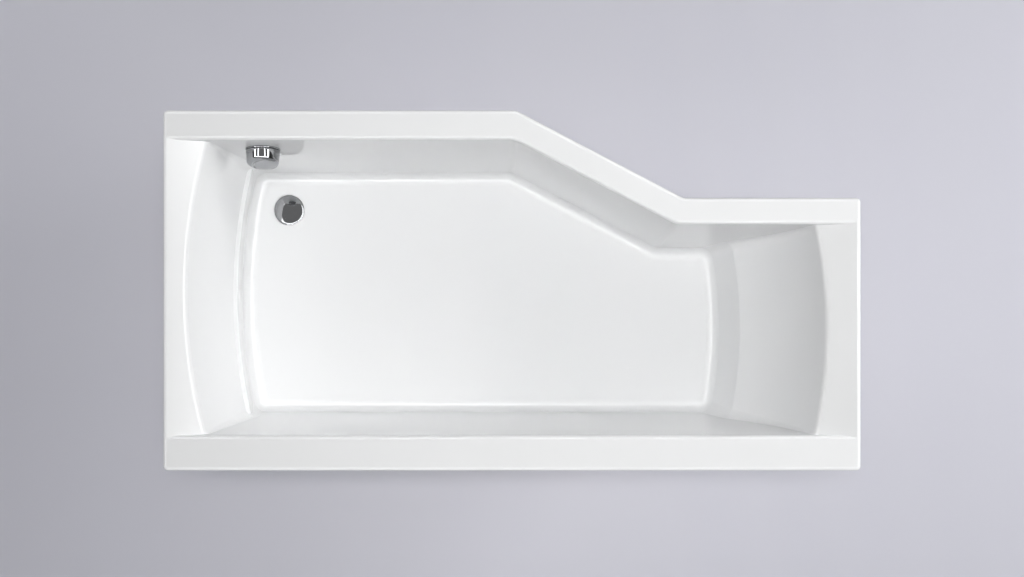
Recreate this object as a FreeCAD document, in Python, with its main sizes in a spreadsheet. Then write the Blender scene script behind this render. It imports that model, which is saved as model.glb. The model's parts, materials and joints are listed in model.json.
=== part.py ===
import FreeCAD, Part
import math
import os
import re

import Sketcher

# Corner bathtub with its feet, waste and overflow.
# Frame: +Z up, +X along the tub from the foot end to the backrest, +Y to the chamfered side.
# The origin lies on the bathroom floor, under the middle of the rim.

Vector = FreeCAD.Vector
Placement = FreeCAD.Placement
Rotation = FreeCAD.Rotation

# Driving dimensions, in millimetres and degrees
DIMENSIONS = {
    # rim outline
    "bath_length": 1500,
    "bath_width": 775,
    "head_width": 586.5,
    "chamfer_start": 759,
    "chamfer_angle": 27.65,
    "corner_round": 10,
    "chamfer_round": 25,
    "rim_height": 580,
    "rim_round": 8,
    "lip_depth": 35,
    "skin": 6,
    # rails and end decks
    "back_rail": 63,
    "chamfer_rail": 57.5,
    "shoulder_rail": 56,
    "front_rail": 75,
    "rail_round": 8,
    "deck_edge": 9,
    "deck_round": 12,
    "back_soften": 3.4,
    "foot_deck_angle": 16,
    "head_deck_angle": 12,
    # well
    "wall_draft": 4.5,
    "well_depth": 415,
    "floor_slope": 0.45,
    "floor_round": 30,
    "end_round": 34,
    "end_round_top": 6,
    "well_bend": 40,
    "mouth_round": 9,
    "ridge_round": 12,
    "foot_arc": 1330,
    "foot_edge": 46,
    "foot_ridge_depth": 305,
    "foot_ridge_run": 52,
    "foot_riser_run": 6,
    "head_arc": 1150,
    "head_edge": 68,
    "head_axis_front": 80,
    "head_ridge_depth": 290,
    "head_ridge_run": 148,
    "head_riser_run": 46,
    "backrest_curve": 780,
    "end_sweep": 60,
    "end_skin_stretch": 1.06,
    "overrun": 75,
    # base board, rails and feet
    "board_bottom": 142,
    "rail_wide": 44,
    "rail_tall": 26,
    "rail_sheet": 2,
    "foot_rail_x": -330,
    "head_rail_x": 330,
    "front_foot_y": -318,
    "foot_back_foot_y": 325,
    "head_back_foot_y": 168,
    "rail_overhang": 25,
    "first_screw_y": -190,
    "foot_last_screw_y": 190,
    "head_last_screw_y": 30,
    "board_side": 80,
    "board_head": 320,
    "board_foot": 310,
    "washer_thick": 2,
    "pad_rim": 6,
    "pad_neck": 12,
    "rod_radius": 6,
    "rod_top": 186,
    "pad_radius": 27,
    "pad_height": 26,
    "pad_socket": 10,
    "nut_across": 19,
    "nut_height": 10,
    "washer_radius": 12,
    "screw_radius": 2.4,
    "screw_head_radius": 5,
    "screw_head_height": 3,
    "screw_length": 16,
    "thread_gap": 0.08,
    "washer_gap": 0.5,
    # waste, heights measured from the tub floor at the drain
    "drain_x": -540.5,
    "drain_y": 206,
    "drain_hole": 26,
    "drain_recess": 38,
    "recess_depth": 2.5,
    "plug_radius": 34,
    "plug_crown": 6,
    "stem_radius": 4,
    "stem_bottom": 58,
    "waste_tube": 25,
    "waste_bore": 22.5,
    "chamber_bore": 27,
    "chamber_wall": 3.5,
    "chamber_depth": 80,
    "body_top": 9.3,
    "body_flange": 37,
    "gasket_thick": 3,
    "outlet_thread": 26,
    "outlet_depth": 98,
    "flange_radius": 36.5,
    "flange_seat": 1,
    "flange_bevel": 5,
    "flange_tube_depth": 48,
    "guide_radius": 7.5,
    "guide_depth": 30,
    "guide_thick": 4,
    "spider_arm": 5,
    "stem_gap": 0.2,
    "tube_relief": 2,
    "seal_inset": 1,
    "tip_round": 1.05,
    "guide_play": 0.06,
    "seal_gap": 0.1,
    "plug_edge": 3,
    "plug_seat": 1.4,
    "skirt_radius": 19.5,
    "skirt_depth": 8,
    "inlet_drop": 62,
    "lever_arm": 18,
    "lever_dip": 19.5,
    "lever_half": 3,
    "lever_thick": 8,
    "lever_tail": 7,
    "lever_gap": 0.9,
    "lever_play": 0.05,
    "lever_pin": 1.5,
    "trap_radius": 20,
    "trap_bore": 17.5,
    "trap_turn": 34,
    "trap_rise_turn": 30,
    "trap_reach": 160,
    "trap_low": 24,
    "trap_outlet_height": 96,
    "trap_collar": 6,
    "trap_seal": 1.5,
    # overflow, along the wall normal from the wet face
    "overflow_x": -551.6,
    "overflow_drop": 100,
    "overflow_hole": 24,
    "rosette_radius": 38.5,
    "knob_back": 38,
    "knob_front": 36.8,
    "knob_side": 30,
    "knob_crown": 44.5,
    "spindle_radius": 5,
    "crank_throw": 14,
    "crank_half": 8,
    "crank_thick": 5,
    "spindle_back": 46,
    "spindle_front": 27,
    "knob_start": 6.5,
    "knob_wall": 2.5,
    "knob_hub": 9.5,
    "press_play": 0.03,
    "rosette_bore": 20,
    "rosette_tube": 24,
    "rosette_thick": 4,
    "bearing_radius": 9,
    "bearing_play": 0.06,
    "bearing_depth": 5,
    "bearing_long": 9,
    "overflow_seat": 9,
    "overflow_cup": 31.5,
    "overflow_back": 59,
    "pipe_radius": 16,
    "pipe_bore": 13.5,
    "spigot_radius": 19,
    "spigot_reach": 48,
    "spigot_depth": 39,
    "inlet_reach": 52,
    "pipe_turn": 60,
    "pipe_nut_grip": 12,
    "cable_inside": 20,
    "cable_radius": 2.2,
}

doc = FreeCAD.newDocument("corner_bathtub")
sheet = doc.addObject("Spreadsheet::Sheet", "dim")
for row, (alias, number) in enumerate(DIMENSIONS.items(), start=1):
    sheet.set(f"A{row}", alias)
    sheet.set(f"B{row}", str(number))
    sheet.setAlias(f"B{row}", alias)
doc.recompute()

BIG = "bath_length"
# Points this near to a height or a face, in millimetres, count as on it
NEAR = 0.05
# How far a form of the tub is grown: not at all for the wet face, by the skin for the back
WET = "0"
ENDS = ("foot", "head")
nodes = []


def bound(expression):
    """Write the sheet's name before each dimension in an expression."""
    def with_sheet(word):
        return f"dim.{word[0]}" if word[0] in DIMENSIONS else word[0]

    return re.sub(r"[a-z_]+", with_sheet, expression)


def size(expression):
    """The value of an expression of the driving dimensions."""
    return float(sheet.evalExpression(bound(expression)))


def bind(thing, **expressions):
    """Tie properties to expressions; two underscores stand for a dot."""
    for name, expression in expressions.items():
        thing.setExpression(name.replace("__", "."), bound(expression))


def node(thing, label):
    """Name a finished sub-part, which is written to a file of that name."""
    thing.Label = label
    nodes.append(thing)
    return thing


def new_body(name):
    return doc.addObject("PartDesign::Body", name)


def arc_edge(start, end, radius):
    """A circular arc between two points; a positive radius has its centre left of the way along."""
    chord = end - start
    middle = (start + end) * 0.5
    left = Vector(-chord.y, chord.x, 0).normalize()
    away = math.sqrt(max(radius**2 - (chord.Length / 2) ** 2, 0))
    centre = middle + left * math.copysign(away, radius)
    first, last = (start, end) if radius > 0 else (end, start)
    angles = [math.atan2(point.y - centre.y, point.x - centre.x) for point in (first, last)]
    return Part.ArcOfCircle(Part.Circle(centre, Vector(0, 0, 1), abs(radius)), *angles)


def draw(body, plane, points, bends=None, shift=None):
    """A closed sketch through points given as expressions; bends gives edges the radius of an arc."""
    bends = bends or {}
    sketch = body.newObject("Sketcher::SketchObject", "outline")
    sketch.AttachmentSupport = (next(part for part in body.Origin.OriginFeatures if part.Role == plane), [""])
    sketch.MapMode = "FlatFace"
    for axis, expression in (shift or {}).items():
        bind(sketch, **{f"AttachmentOffset__Base__{axis}": expression})
    places = [Vector(size(x), size(y), 0) for x, y in points]
    starts, ends = {}, {}
    for index, start in enumerate(places):
        end = places[(index + 1) % len(places)]
        starts[index], ends[index] = 1, 2
        if index in bends:
            radius = size(bends[index])
            sketch.addGeometry(arc_edge(start, end, radius))
            if radius < 0:
                starts[index], ends[index] = 2, 1
        else:
            sketch.addGeometry(Part.LineSegment(start, end))
    for index in range(len(places)):
        after = (index + 1) % len(places)
        sketch.addConstraint(Sketcher.Constraint("Coincident", index, ends[index], after, starts[after]))
    for index, (x, y) in enumerate(points):
        for kind, expression, at in (("DistanceX", x, places[index].x), ("DistanceY", y, places[index].y)):
            number = sketch.addConstraint(Sketcher.Constraint(kind, -1, 1, index, starts[index], at))
            bind(sketch, **{f"Constraints[{number}]": expression})
        if index in bends:
            number = sketch.addConstraint(Sketcher.Constraint("Radius", index, abs(size(bends[index]))))
            bind(sketch, **{f"Constraints[{number}]": f"abs({bends[index]})"})
    return sketch


def circles(body, plane, places, radius, shift=None):
    """A sketch of equal circles at places given as expressions."""
    sketch = body.newObject("Sketcher::SketchObject", "holes")
    sketch.AttachmentSupport = (next(part for part in body.Origin.OriginFeatures if part.Role == plane), [""])
    sketch.MapMode = "FlatFace"
    for axis, expression in (shift or {}).items():
        bind(sketch, **{f"AttachmentOffset__Base__{axis}": expression})
    for index, (x, y) in enumerate(places):
        middle = Vector(size(x), size(y), 0)
        sketch.addGeometry(Part.Circle(middle, Vector(0, 0, 1), size(radius)))
        for kind, expression, at in (("DistanceX", x, middle.x), ("DistanceY", y, middle.y)):
            number = sketch.addConstraint(Sketcher.Constraint(kind, -1, 1, index, 3, at))
            bind(sketch, **{f"Constraints[{number}]": expression})
        number = sketch.addConstraint(Sketcher.Constraint("Radius", index, size(radius)))
        bind(sketch, **{f"Constraints[{number}]": radius})
    return sketch


def feature(body, kind, sketch, both_ways=False, **expressions):
    """Add a pad, pocket or other sketch feature to a body."""
    made = body.newObject(f"PartDesign::{kind}", kind.lower())
    made.Profile = sketch
    if both_ways:
        made.SideType = "Symmetric"
    bind(made, **expressions)
    return made


def turn(body, sketch, angle=None):
    """Revolve a sketch about its own upright axis, all the way or half the angle to each side."""
    made = body.newObject("PartDesign::Revolution", "turned")
    made.Profile = sketch
    made.ReferenceAxis = (sketch, ["V_Axis"])
    made.Midplane = angle is not None
    made.Angle = angle or 360
    return made


def soften(body, base, kind, wanted, width):
    """Round or chamfer the edges of a body's feature that a test picks out."""
    doc.recompute()
    picked = [f"Edge{number}" for number, edge in enumerate(base.Shape.Edges, start=1) if wanted(edge)]
    made = body.newObject(f"PartDesign::{kind}", kind.lower())
    made.Base = (base, picked)
    bind(made, **{"Radius" if kind == "Fillet" else "Size": width})
    doc.recompute()
    return made


def middle(edge):
    return edge.valueAt((edge.FirstParameter + edge.LastParameter) / 2)


def level(edge, height):
    """Whether an edge lies flat at a height."""
    return abs(edge.BoundBox.ZMin - height) < NEAR and abs(edge.BoundBox.ZMax - height) < NEAR


def turned(label, points, bends=None):
    """A sub-part revolved about its own Z axis from a half profile of radius and height."""
    body = new_body(label)
    turn(body, draw(body, "XZ_Plane", points, bends))
    return node(body, label)


def combine(kind, base, tool):
    """A cut, fuse or common of two objects."""
    made = doc.addObject(f"Part::{kind}", kind.lower())
    made.Base, made.Tool = base, tool
    return made


def group(label, links):
    """One sub-part made of separate equal solids."""
    made = doc.addObject("Part::Compound", label)
    made.Links = links
    return node(made, label)


def cylinder(radius, height, x="0", y="0", z="0"):
    """An upright round bar or hole."""
    made = doc.addObject("Part::Cylinder", "round")
    bind(made, Radius=radius, Height=height)
    bind(made, Placement__Base__x=x, Placement__Base__y=y, Placement__Base__z=z)
    return made


def outline(back, chamfer, shoulder, head, front, foot):
    """The rim's six corners, each edge moved in from the rim by its own margin."""
    chamfer_x = "chamfer_start - bath_length / 2"
    shoulder_x = f"{chamfer_x} + (bath_width - head_width) / tan(chamfer_angle)"
    back_y = f"bath_width / 2 - ({back})"
    shoulder_y = f"head_width - bath_width / 2 - ({shoulder})"
    front_y = f"({front}) - bath_width / 2"
    slant_in = f"({chamfer}) / sin(chamfer_angle)"
    head_x = f"bath_length / 2 - ({head})"
    foot_x = f"({foot}) - bath_length / 2"
    return [
        (foot_x, front_y),
        (head_x, front_y),
        (head_x, shoulder_y),
        (f"{shoulder_x} + ({shoulder}) / tan(chamfer_angle) - {slant_in}", shoulder_y),
        (f"{chamfer_x} + ({back}) / tan(chamfer_angle) - {slant_in}", back_y),
        (foot_x, back_y),
    ]


def floor_height(x, grow):
    """The height of the tub floor, or of its underside, which falls gently to the drain."""
    return f"rim_height - well_depth - ({grow}) + (({x}) - drain_x) * tan(floor_slope)"


def well_form(grow):
    """The space above the rim and in the drafted well, with the rail edges rounded."""
    body = new_body("well")
    above = draw(body, "XY_Plane", outline(*["-overrun"] * 6), shift={"z": f"rim_height - {grow}"})
    feature(body, "Pad", above, Length="overrun")
    rails = ("back_rail", "chamfer_rail", "shoulder_rail", "deck_edge", "front_rail", "deck_edge")
    mouth = outline(*[f"{rail} - {grow}" for rail in rails])
    deep = draw(body, "XY_Plane", mouth, shift={"z": "rim_height"})
    well = feature(body, "Pad", deep, Length="well_depth + 2 * floor_round", TaperAngle="-wall_draft")
    well.Reversed = True
    mouth_height = size(f"rim_height - {grow}")

    def upright(edge):
        return edge.BoundBox.ZLength > size("well_depth")

    def at_an_end(edge):
        return abs(middle(edge).x) > size("bath_length / 3")

    corners = soften(body, well, "Fillet", lambda edge: upright(edge) and at_an_end(edge), "mouth_round")
    bends = soften(body, corners, "Fillet", lambda edge: upright(edge) and not at_an_end(edge), "well_bend")

    def on_mouth(edge):
        box = edge.BoundBox
        inside = max(abs(box.YMin), abs(box.YMax)) < size("bath_width / 2")
        return level(edge, mouth_height) and inside and abs(middle(edge).x) < size("bath_length / 2")

    soften(body, bends, "Fillet", on_mouth, f"rail_round - {grow}")
    low = draw(
        body,
        "XZ_Plane",
        [
            (f"-{BIG}", floor_height(f"-{BIG}", grow)),
            (f"-{BIG}", "0"),
            (BIG, "0"),
            (BIG, floor_height(BIG, grow)),
        ],
    )
    feature(body, "Pocket", low, both_ways=True, Length=f"2 * {BIG}")
    return body


def deck_arc(edge, end, grow):
    """Whether an edge is the long arc where an end's sloping deck meets its wall."""
    slope = math.tan(math.radians(size(f"{end}_deck_angle")))
    top, deck_start = size(f"rim_height - {grow}"), size("bath_length / 2 - deck_edge")
    points = [edge.valueAt(edge.FirstParameter), middle(edge), edge.valueAt(edge.LastParameter)]
    on_slope = all(abs(point.z - top - (abs(point.x) - deck_start) * slope) < NEAR for point in points)
    this_end = (points[1].x > 0) == (end == "head")
    across = edge.BoundBox.YLength > size("head_width / 2")
    return this_end and on_slope and across and abs(points[1].x) < deck_start - size("deck_edge")


def end_form(end, grow):
    """The block that closes one end of the well: a sloping deck over a curved end wall with a ridge."""
    side = {"foot": "-1", "head": "1"}[end]
    axis_front = {"foot": "0", "head": "head_axis_front"}[end]
    body = new_body(f"{end}_end")
    radius = f"{end}_arc + end_skin_stretch * ({grow})"
    far = f"{end}_arc + 3 * overrun"
    low = f"rim_height - 2 * well_depth + {end}_ridge_depth"
    wall = draw(
        body,
        "XZ_Plane",
        [
            (f"{side} * ({radius})", "rim_height + 3 * lip_depth"),
            (f"{side} * ({radius})", "rim_height"),
            (f"{side} * ({radius} - {end}_ridge_run)", f"rim_height - {end}_ridge_depth"),
            (f"{side} * ({radius} - {end}_ridge_run - 2 * {end}_riser_run)", low),
            (f"{side} * ({far})", low),
            (f"{side} * ({far})", "rim_height + 3 * lip_depth"),
        ],
        bends={1: "-backrest_curve"} if end == "head" else None,
        shift={"x": f"{side} * (bath_length / 2 - {end}_edge - {end}_arc)", "z": axis_front},
    )
    swept = turn(body, wall, angle=size("end_sweep"))
    ridge_height = size(f"rim_height - {end}_ridge_depth")
    soften(body, swept, "Fillet", lambda edge: level(edge, ridge_height), f"ridge_round + {grow}")

    def deck_height(beyond):
        return f"rim_height - {grow} + ({beyond} + deck_edge) * tan({end}_deck_angle)"

    deck = draw(
        body,
        "XZ_Plane",
        [
            (f"{side} * (bath_length / 2 + 4 * overrun)", deck_height("4 * overrun")),
            (f"{side} * (bath_length / 2 - 5 * overrun)", deck_height("-5 * overrun")),
            (f"{side} * (bath_length / 2 - 5 * overrun)", "rim_height + bath_width"),
            (f"{side} * (bath_length / 2 + 4 * overrun)", "rim_height + bath_width"),
        ],
    )
    cut = feature(body, "Pocket", deck, both_ways=True, Length=f"2 * {BIG}")
    if grow != WET:
        soften(body, cut, "Chamfer", lambda edge: deck_arc(edge, end, grow), "back_soften")
    return body


def basin_space(grow):
    """The open space of the tub, down to its wet face or, grown by the skin, to its back."""
    return combine("Cut", combine("Cut", well_form(grow), end_form("foot", grow)), end_form("head", grow))


def round_corners(moulding, grow):
    """Round the upright corners at the well's ends, tightly at the deck and widely at the floor."""
    doc.recompute()
    rim, floor = size("rim_height"), size("rim_height - well_depth")
    draft = math.tan(math.radians(size("wall_draft")))
    rails = {
        "front": -size(f"bath_width / 2 - front_rail + {grow}"),
        "back": size(f"bath_width / 2 - back_rail + {grow}"),
        "shoulder": size(f"head_width - bath_width / 2 - shoulder_rail + {grow}"),
    }
    foot_zone, head_zone = -size("0.4 * bath_length"), size("0.3 * bath_length")
    lowest_deck = rim - size("2 * lip_depth")

    def in_corner(edge):
        point, box = middle(edge), edge.BoundBox
        inward = (rim - point.z) * draft
        back = rails["back"] if point.x < 0 else rails["shoulder"]
        wall = rails["front"] + inward if point.y < 0 else back - inward
        beside_end = point.x < foot_zone or point.x > head_zone
        steep = 2 * box.ZLength > box.XLength and box.ZLength > 5 * box.YLength
        in_well = floor < point.z < lowest_deck
        return beside_end and steep and in_well and abs(point.y - wall) < 10 * NEAR

    def radius_at(height):
        depth = (rim - height) / (rim - floor)
        return size(f"end_round_top + (end_round - end_round_top) * {depth} + {grow}")

    chains = {}
    for number, edge in enumerate(moulding.Shape.Edges, start=1):
        if in_corner(edge):
            chains.setdefault((edge.CenterOfMass.x > 0, edge.CenterOfMass.y > 0), []).append((number, edge))
    # A fillet reads every radius of a chain along the way in which the chain's first edge runs
    rounds = []
    for chain in chains.values():
        heights = [[edge.valueAt(at).z for at in edge.ParameterRange] for number, edge in chain]
        falling = heights[0][0] > heights[0][1]
        for (number, edge), ends in zip(chain, heights):
            rounds.append((number, *(radius_at(end) for end in sorted(ends, reverse=falling))))
    made = doc.addObject("Part::Fillet", "corners")
    made.Base = moulding
    made.Edges = rounds
    return made


def round_floor(body, grow):
    """Round the edge of the well's floor, on the wet face or the back."""

    def on_floor(edge):
        ends = [edge.valueAt(at) for at in (edge.FirstParameter, edge.LastParameter)]
        heights = [abs(point.z - size(floor_height(str(point.x), grow))) for point in ends]
        return max(heights) < NEAR and not edge.isClosed()

    soften(body, body.Tip, "Fillet", on_floor, f"floor_round + {grow}")


def rim_form():
    """The rim: a flat lid with a turned-down lip, open below."""
    body = new_body("rim")
    edge = draw(body, "XY_Plane", outline(*["0"] * 6), shift={"z": "rim_height - lip_depth"})
    lid = feature(body, "Pad", edge, Length="lip_depth")

    def upright_within(edge, low, high):
        return edge.BoundBox.ZLength > size("lip_depth / 2") and low < abs(middle(edge).x) < high

    between, end = size("bath_length / 3"), size("bath_length")
    corners = soften(body, lid, "Fillet", lambda edge: upright_within(edge, between, end), "corner_round")
    bends = soften(body, corners, "Fillet", lambda edge: upright_within(edge, 0, between), "chamfer_round")
    soften(body, bends, "Fillet", lambda edge: level(edge, size("rim_height")), "rim_round")
    under = draw(body, "XY_Plane", outline(*["skin"] * 6), shift={"z": "rim_height - lip_depth"})
    hollow = feature(body, "Pocket", under, Length="lip_depth - skin")
    hollow.Reversed = True
    return body


def within_rim():
    """A prism inside the rim's skin, which trims the back of the well."""
    body = new_body("within")
    feature(body, "Pad", draw(body, "XY_Plane", outline(*["skin / 2"] * 6)), Length="rim_height - skin / 2")
    return body


def place(thing, x, y, z, rotation=None):
    """Put a sub-part at a place given by expressions."""
    thing.Placement = Placement(Vector(), rotation or Rotation())
    bind(thing, Placement__Base__x=x, Placement__Base__y=y, Placement__Base__z=z)
    return thing


WALL_TURN = Rotation(Vector(1, 0, 0), 90 - size("wall_draft"))
WET_Y = "bath_width / 2 - back_rail - overflow_drop * tan(wall_draft)"


def on_wall(thing):
    """Stand a sub-part on the wet face of the long wall at the overflow, its own Z into the tub."""
    return place(thing, "overflow_x", WET_Y, "rim_height - overflow_drop", WALL_TURN)


# The overflow pipe leaves its spigot down the wall and turns in to the waste
OVERFLOW = Vector(size("overflow_x"), size(WET_Y), size("rim_height - overflow_drop"))
DRAIN = Vector(size("drain_x"), size("drain_y"), size("rim_height - well_depth"))
DOWN_WALL = WALL_TURN.multVec(Vector(0, -1, 0))
PIPE_TOP = OVERFLOW + WALL_TURN.multVec(Vector(0, -size("spigot_reach"), -size("spigot_depth")))
INLET_HEIGHT = DRAIN.z - size("inlet_drop")
PIPE_CORNER = PIPE_TOP + DOWN_WALL * ((INLET_HEIGHT - PIPE_TOP.z) / DOWN_WALL.z)
TO_PIPE = Vector(PIPE_CORNER.x - DRAIN.x, PIPE_CORNER.y - DRAIN.y, 0).normalize()
INLET = Vector(DRAIN.x, DRAIN.y, INLET_HEIGHT)
PIPE_END = INLET + TO_PIPE * size("inlet_reach")
WASTE_TURN = Rotation(Vector(0, 1, 0), TO_PIPE)


def at_drain(thing, rotation=None):
    """Put a sub-part on the drain's axis, its heights counted from the tub floor."""
    return place(thing, "drain_x", "drain_y", "rim_height - well_depth", rotation)


def bent_tube(points, turns, outer, inner=0):
    """A tube of straight runs joined by tangent arcs."""
    edges = []
    start = points[0]
    for before, corner, after, radius in zip(points, points[1:], points[2:], turns):
        back, on = (before - corner).normalize(), (after - corner).normalize()
        half = back.getAngle(on) / 2
        first, last = corner + back * (radius / math.tan(half)), corner + on * (radius / math.tan(half))
        bisector = (back + on).normalize()
        crown = corner + bisector * (radius / math.sin(half) - radius)
        if (first - start).Length > NEAR:
            edges.append(Part.LineSegment(start, first).toShape())
        edges.append(Part.Arc(first, crown, last).toShape())
        start = last
    edges.append(Part.LineSegment(start, points[-1]).toShape())
    path = Part.Wire(edges)
    bars = []
    for radius in filter(None, (outer, inner)):
        ring = Part.Wire([Part.Circle(points[0], points[1] - points[0], radius).toShape()])
        bars.append(path.makePipeShell([ring], True, False))
    length = sum(edge.Length for edge in edges)
    section = math.pi * (outer**2 - inner**2)
    tube = bars[0].cut(bars[1]) if inner else bars[0]
    print(f"tube: length {length:.1f}, volume over its expected one {tube.Volume / (section * length):.4f}")
    return tube


def shaped(label, shape):
    """A sub-part whose shape is worked out here from the driving dimensions."""
    made = doc.addObject("Part::Feature", label)
    made.Shape = shape
    return node(made, label)


def tub_shell():
    """The moulded tub: rim, decks, well and floor in one skin, with its drain and overflow holes."""
    back = combine("Common", basin_space("skin"), within_rim())
    moulding = combine("Cut", combine("Fuse", rim_form(), back), basin_space(WET))
    drain = {"x": "drain_x", "y": "drain_y"}
    recess = cylinder("drain_recess", "lip_depth", **drain, z="rim_height - well_depth - recess_depth")
    hole = cylinder("drain_hole", "4 * skin", **drain, z="rim_height - well_depth - 2 * skin")
    mouth = doc.addObject("Part::Cylinder", "mouth")
    bind(mouth, Radius="overflow_hole", Height="4 * skin")
    on_wall(mouth)
    bind(mouth, Placement__Base__y=f"{WET_Y} + 2 * skin * cos(wall_draft)")
    bind(mouth, Placement__Base__z="rim_height - overflow_drop - 2 * skin * sin(wall_draft)")
    for opening in (recess, hole, mouth):
        moulding = combine("Cut", moulding, opening)
    for grow in (WET, "skin"):
        moulding = round_corners(moulding, grow)
    body = new_body("tub_shell")
    body.BaseFeature = moulding
    doc.recompute()
    soften(body, body.Tip, "Fillet", lambda edge: any(deck_arc(edge, end, WET) for end in ENDS), "deck_round")
    for grow in (WET, "skin"):
        round_floor(body, grow)
    return node(body, "tub_shell")


def rail_screw_places(end):
    """Four screws along a rail, under the base board."""
    spacing = f"({end}_last_screw_y - first_screw_y) / 3"
    return [(f"{end}_rail_x", f"first_screw_y + {step} * {spacing}") for step in range(4)]


SCREWS = rail_screw_places("foot") + rail_screw_places("head")
FEET = {
    "foot_back": ("foot_rail_x", "foot_back_foot_y"),
    "foot_front": ("foot_rail_x", "front_foot_y"),
    "head_back": ("head_rail_x", "head_back_foot_y"),
    "head_front": ("head_rail_x", "front_foot_y"),
}


def base_board():
    """The board under the floor, its top sloped with the floor's underside."""
    body = new_body("base_board")
    sides = {name: f"board_side + {name}_rail" for name in ("back", "chamfer", "shoulder", "front")}
    margins = [sides["back"], sides["chamfer"], sides["shoulder"], "board_head", sides["front"], "board_foot"]
    plan = draw(body, "XY_Plane", outline(*margins), shift={"z": "board_bottom"})
    feature(body, "Pad", plan, Length="2 * lip_depth")
    top = draw(
        body,
        "XZ_Plane",
        [
            (f"-{BIG}", floor_height(f"-{BIG}", "skin")),
            (BIG, floor_height(BIG, "skin")),
            (BIG, "rim_height"),
            (f"-{BIG}", "rim_height"),
        ],
    )
    feature(body, "Pocket", top, both_ways=True, Length=f"2 * {BIG}")
    pilots = circles(body, "XY_Plane", SCREWS, "screw_radius + thread_gap", shift={"z": "board_bottom"})
    feature(body, "Pocket", pilots, Length="screw_length").Reversed = True
    return node(body, "base_board")


def cross_rail(end):
    """A steel channel, open below, that carries the board and reaches out to two feet."""
    body = new_body(f"{end}_end_rail")
    half, inside = "rail_wide / 2", "rail_wide / 2 - rail_sheet"
    top, web, low = "board_bottom", "board_bottom - rail_sheet", "board_bottom - rail_tall"
    section = [
        (f"-({half})", top),
        (half, top),
        (half, low),
        (inside, low),
        (inside, web),
        (f"-({inside})", web),
        (f"-({inside})", low),
        (f"-({half})", low),
    ]
    back_end = f"{end}_back_foot_y + rail_overhang"
    channel = draw(body, "XZ_Plane", section, shift={"x": f"{end}_rail_x", "z": f"-({back_end})"})
    feature(body, "Pad", channel, Length=f"{back_end} - front_foot_y + rail_overhang")
    rods = [where for name, where in FEET.items() if name.startswith(end)]
    screws = rail_screw_places(end)
    for places, radius in ((rods, "rod_radius + washer_gap"), (screws, "screw_radius + thread_gap")):
        holes = circles(body, "XY_Plane", places, radius, shift={"z": "board_bottom"})
        feature(body, "Pocket", holes, Length="2 * rail_sheet")
    return node(body, f"{end}_end_rail")


def rail_screws():
    """Pan-head screws up through the rails into the board."""
    screws = []
    for x, y in SCREWS:
        web = "board_bottom - rail_sheet"
        head = cylinder("screw_head_radius", "screw_head_height", x, y, f"{web} - screw_head_height")
        shank = cylinder("screw_radius", "screw_length", x, y, web)
        screws.append(combine("Fuse", head, shank))
    return group("rail_screws", screws)


def levelling_foot(name, x, y):
    """A threaded rod in a plastic pad."""
    rod = cylinder("rod_radius", "rod_top - pad_socket", x, y, "pad_socket")
    node(rod, f"levelling_rod_{name}")
    socket = "rod_radius + thread_gap / 2"
    pad = turned(
        f"foot_pad_{name}",
        [
            ("0", "0"),
            ("pad_radius", "0"),
            ("pad_radius", "pad_rim"),
            ("pad_neck", "pad_height - pad_rim"),
            ("pad_neck", "pad_height"),
            (socket, "pad_height"),
            (socket, "pad_socket"),
            ("0", "pad_socket"),
        ],
    )
    place(pad, x, y, "0")


def ring_stack(label, low, tall, hexagon):
    """Nuts or washers on the four rods, at one height."""
    bore = "rod_radius + thread_gap" if hexagon else "rod_radius + washer_gap"
    rings = []
    for x, y in FEET.values():
        if hexagon:
            blank = doc.addObject("Part::Prism", "hexagon")
            blank.Polygon = 6
            bind(blank, Circumradius="nut_across / sqrt(3)", Height=tall)
            place(blank, x, y, low)
        else:
            blank = cylinder("washer_radius", tall, x, y, low)
        rings.append(combine("Cut", blank, cylinder(bore, f"3 * {tall}", x, y, f"{low} - {tall}")))
    return group(label, rings)


def ring(label, inside, outside, low, high):
    """A flat seal or gasket on its own axis."""
    return turned(label, [(inside, low), (outside, low), (outside, high), (inside, high)])


def waste_flange():
    """The chrome flange: a ring in the floor's recess, a threaded tube and a spider that guides the stem."""
    body = new_body("waste_flange")
    profile = [
        ("waste_bore", "-flange_tube_depth"),
        ("waste_tube", "-flange_tube_depth"),
        ("waste_tube", "-flange_seat"),
        ("flange_radius", "-flange_seat"),
        ("flange_radius", "0"),
        ("flange_radius - flange_bevel", "flange_seat"),
        ("waste_bore + flange_bevel", "flange_seat"),
        ("waste_bore", "-flange_seat"),
    ]
    turn(body, draw(body, "XZ_Plane", profile))
    spider(body, "waste_bore", "guide_radius", "stem_radius + guide_play", "guide_depth", "guide_thick")
    return at_drain(node(body, "waste_flange"), WASTE_TURN)


def spider(body, reach, hub, bore, depth, thick):
    """Four arms and a bored hub across a ring."""
    arm, long = "spider_arm / 2", f"{reach} + spider_arm / 4"
    cross = [
        (long, f"-{arm}"),
        (long, arm),
        (arm, arm),
        (arm, long),
        (f"-{arm}", long),
        (f"-{arm}", arm),
        (f"-({long})", arm),
        (f"-({long})", f"-{arm}"),
        (f"-{arm}", f"-{arm}"),
        (f"-{arm}", f"-({long})"),
        (arm, f"-({long})"),
        (arm, f"-{arm}"),
    ]
    low = {"z": f"-({depth})"}
    feature(body, "Pad", draw(body, "XY_Plane", cross, shift=low), Length=thick)
    feature(body, "Pad", circles(body, "XY_Plane", [("0", "0")], hub, shift=low), Length=thick)
    hole = circles(body, "XY_Plane", [("0", "0")], bore, shift=low)
    feature(body, "Pocket", hole, Length=f"2 * ({thick})").Reversed = True


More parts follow.
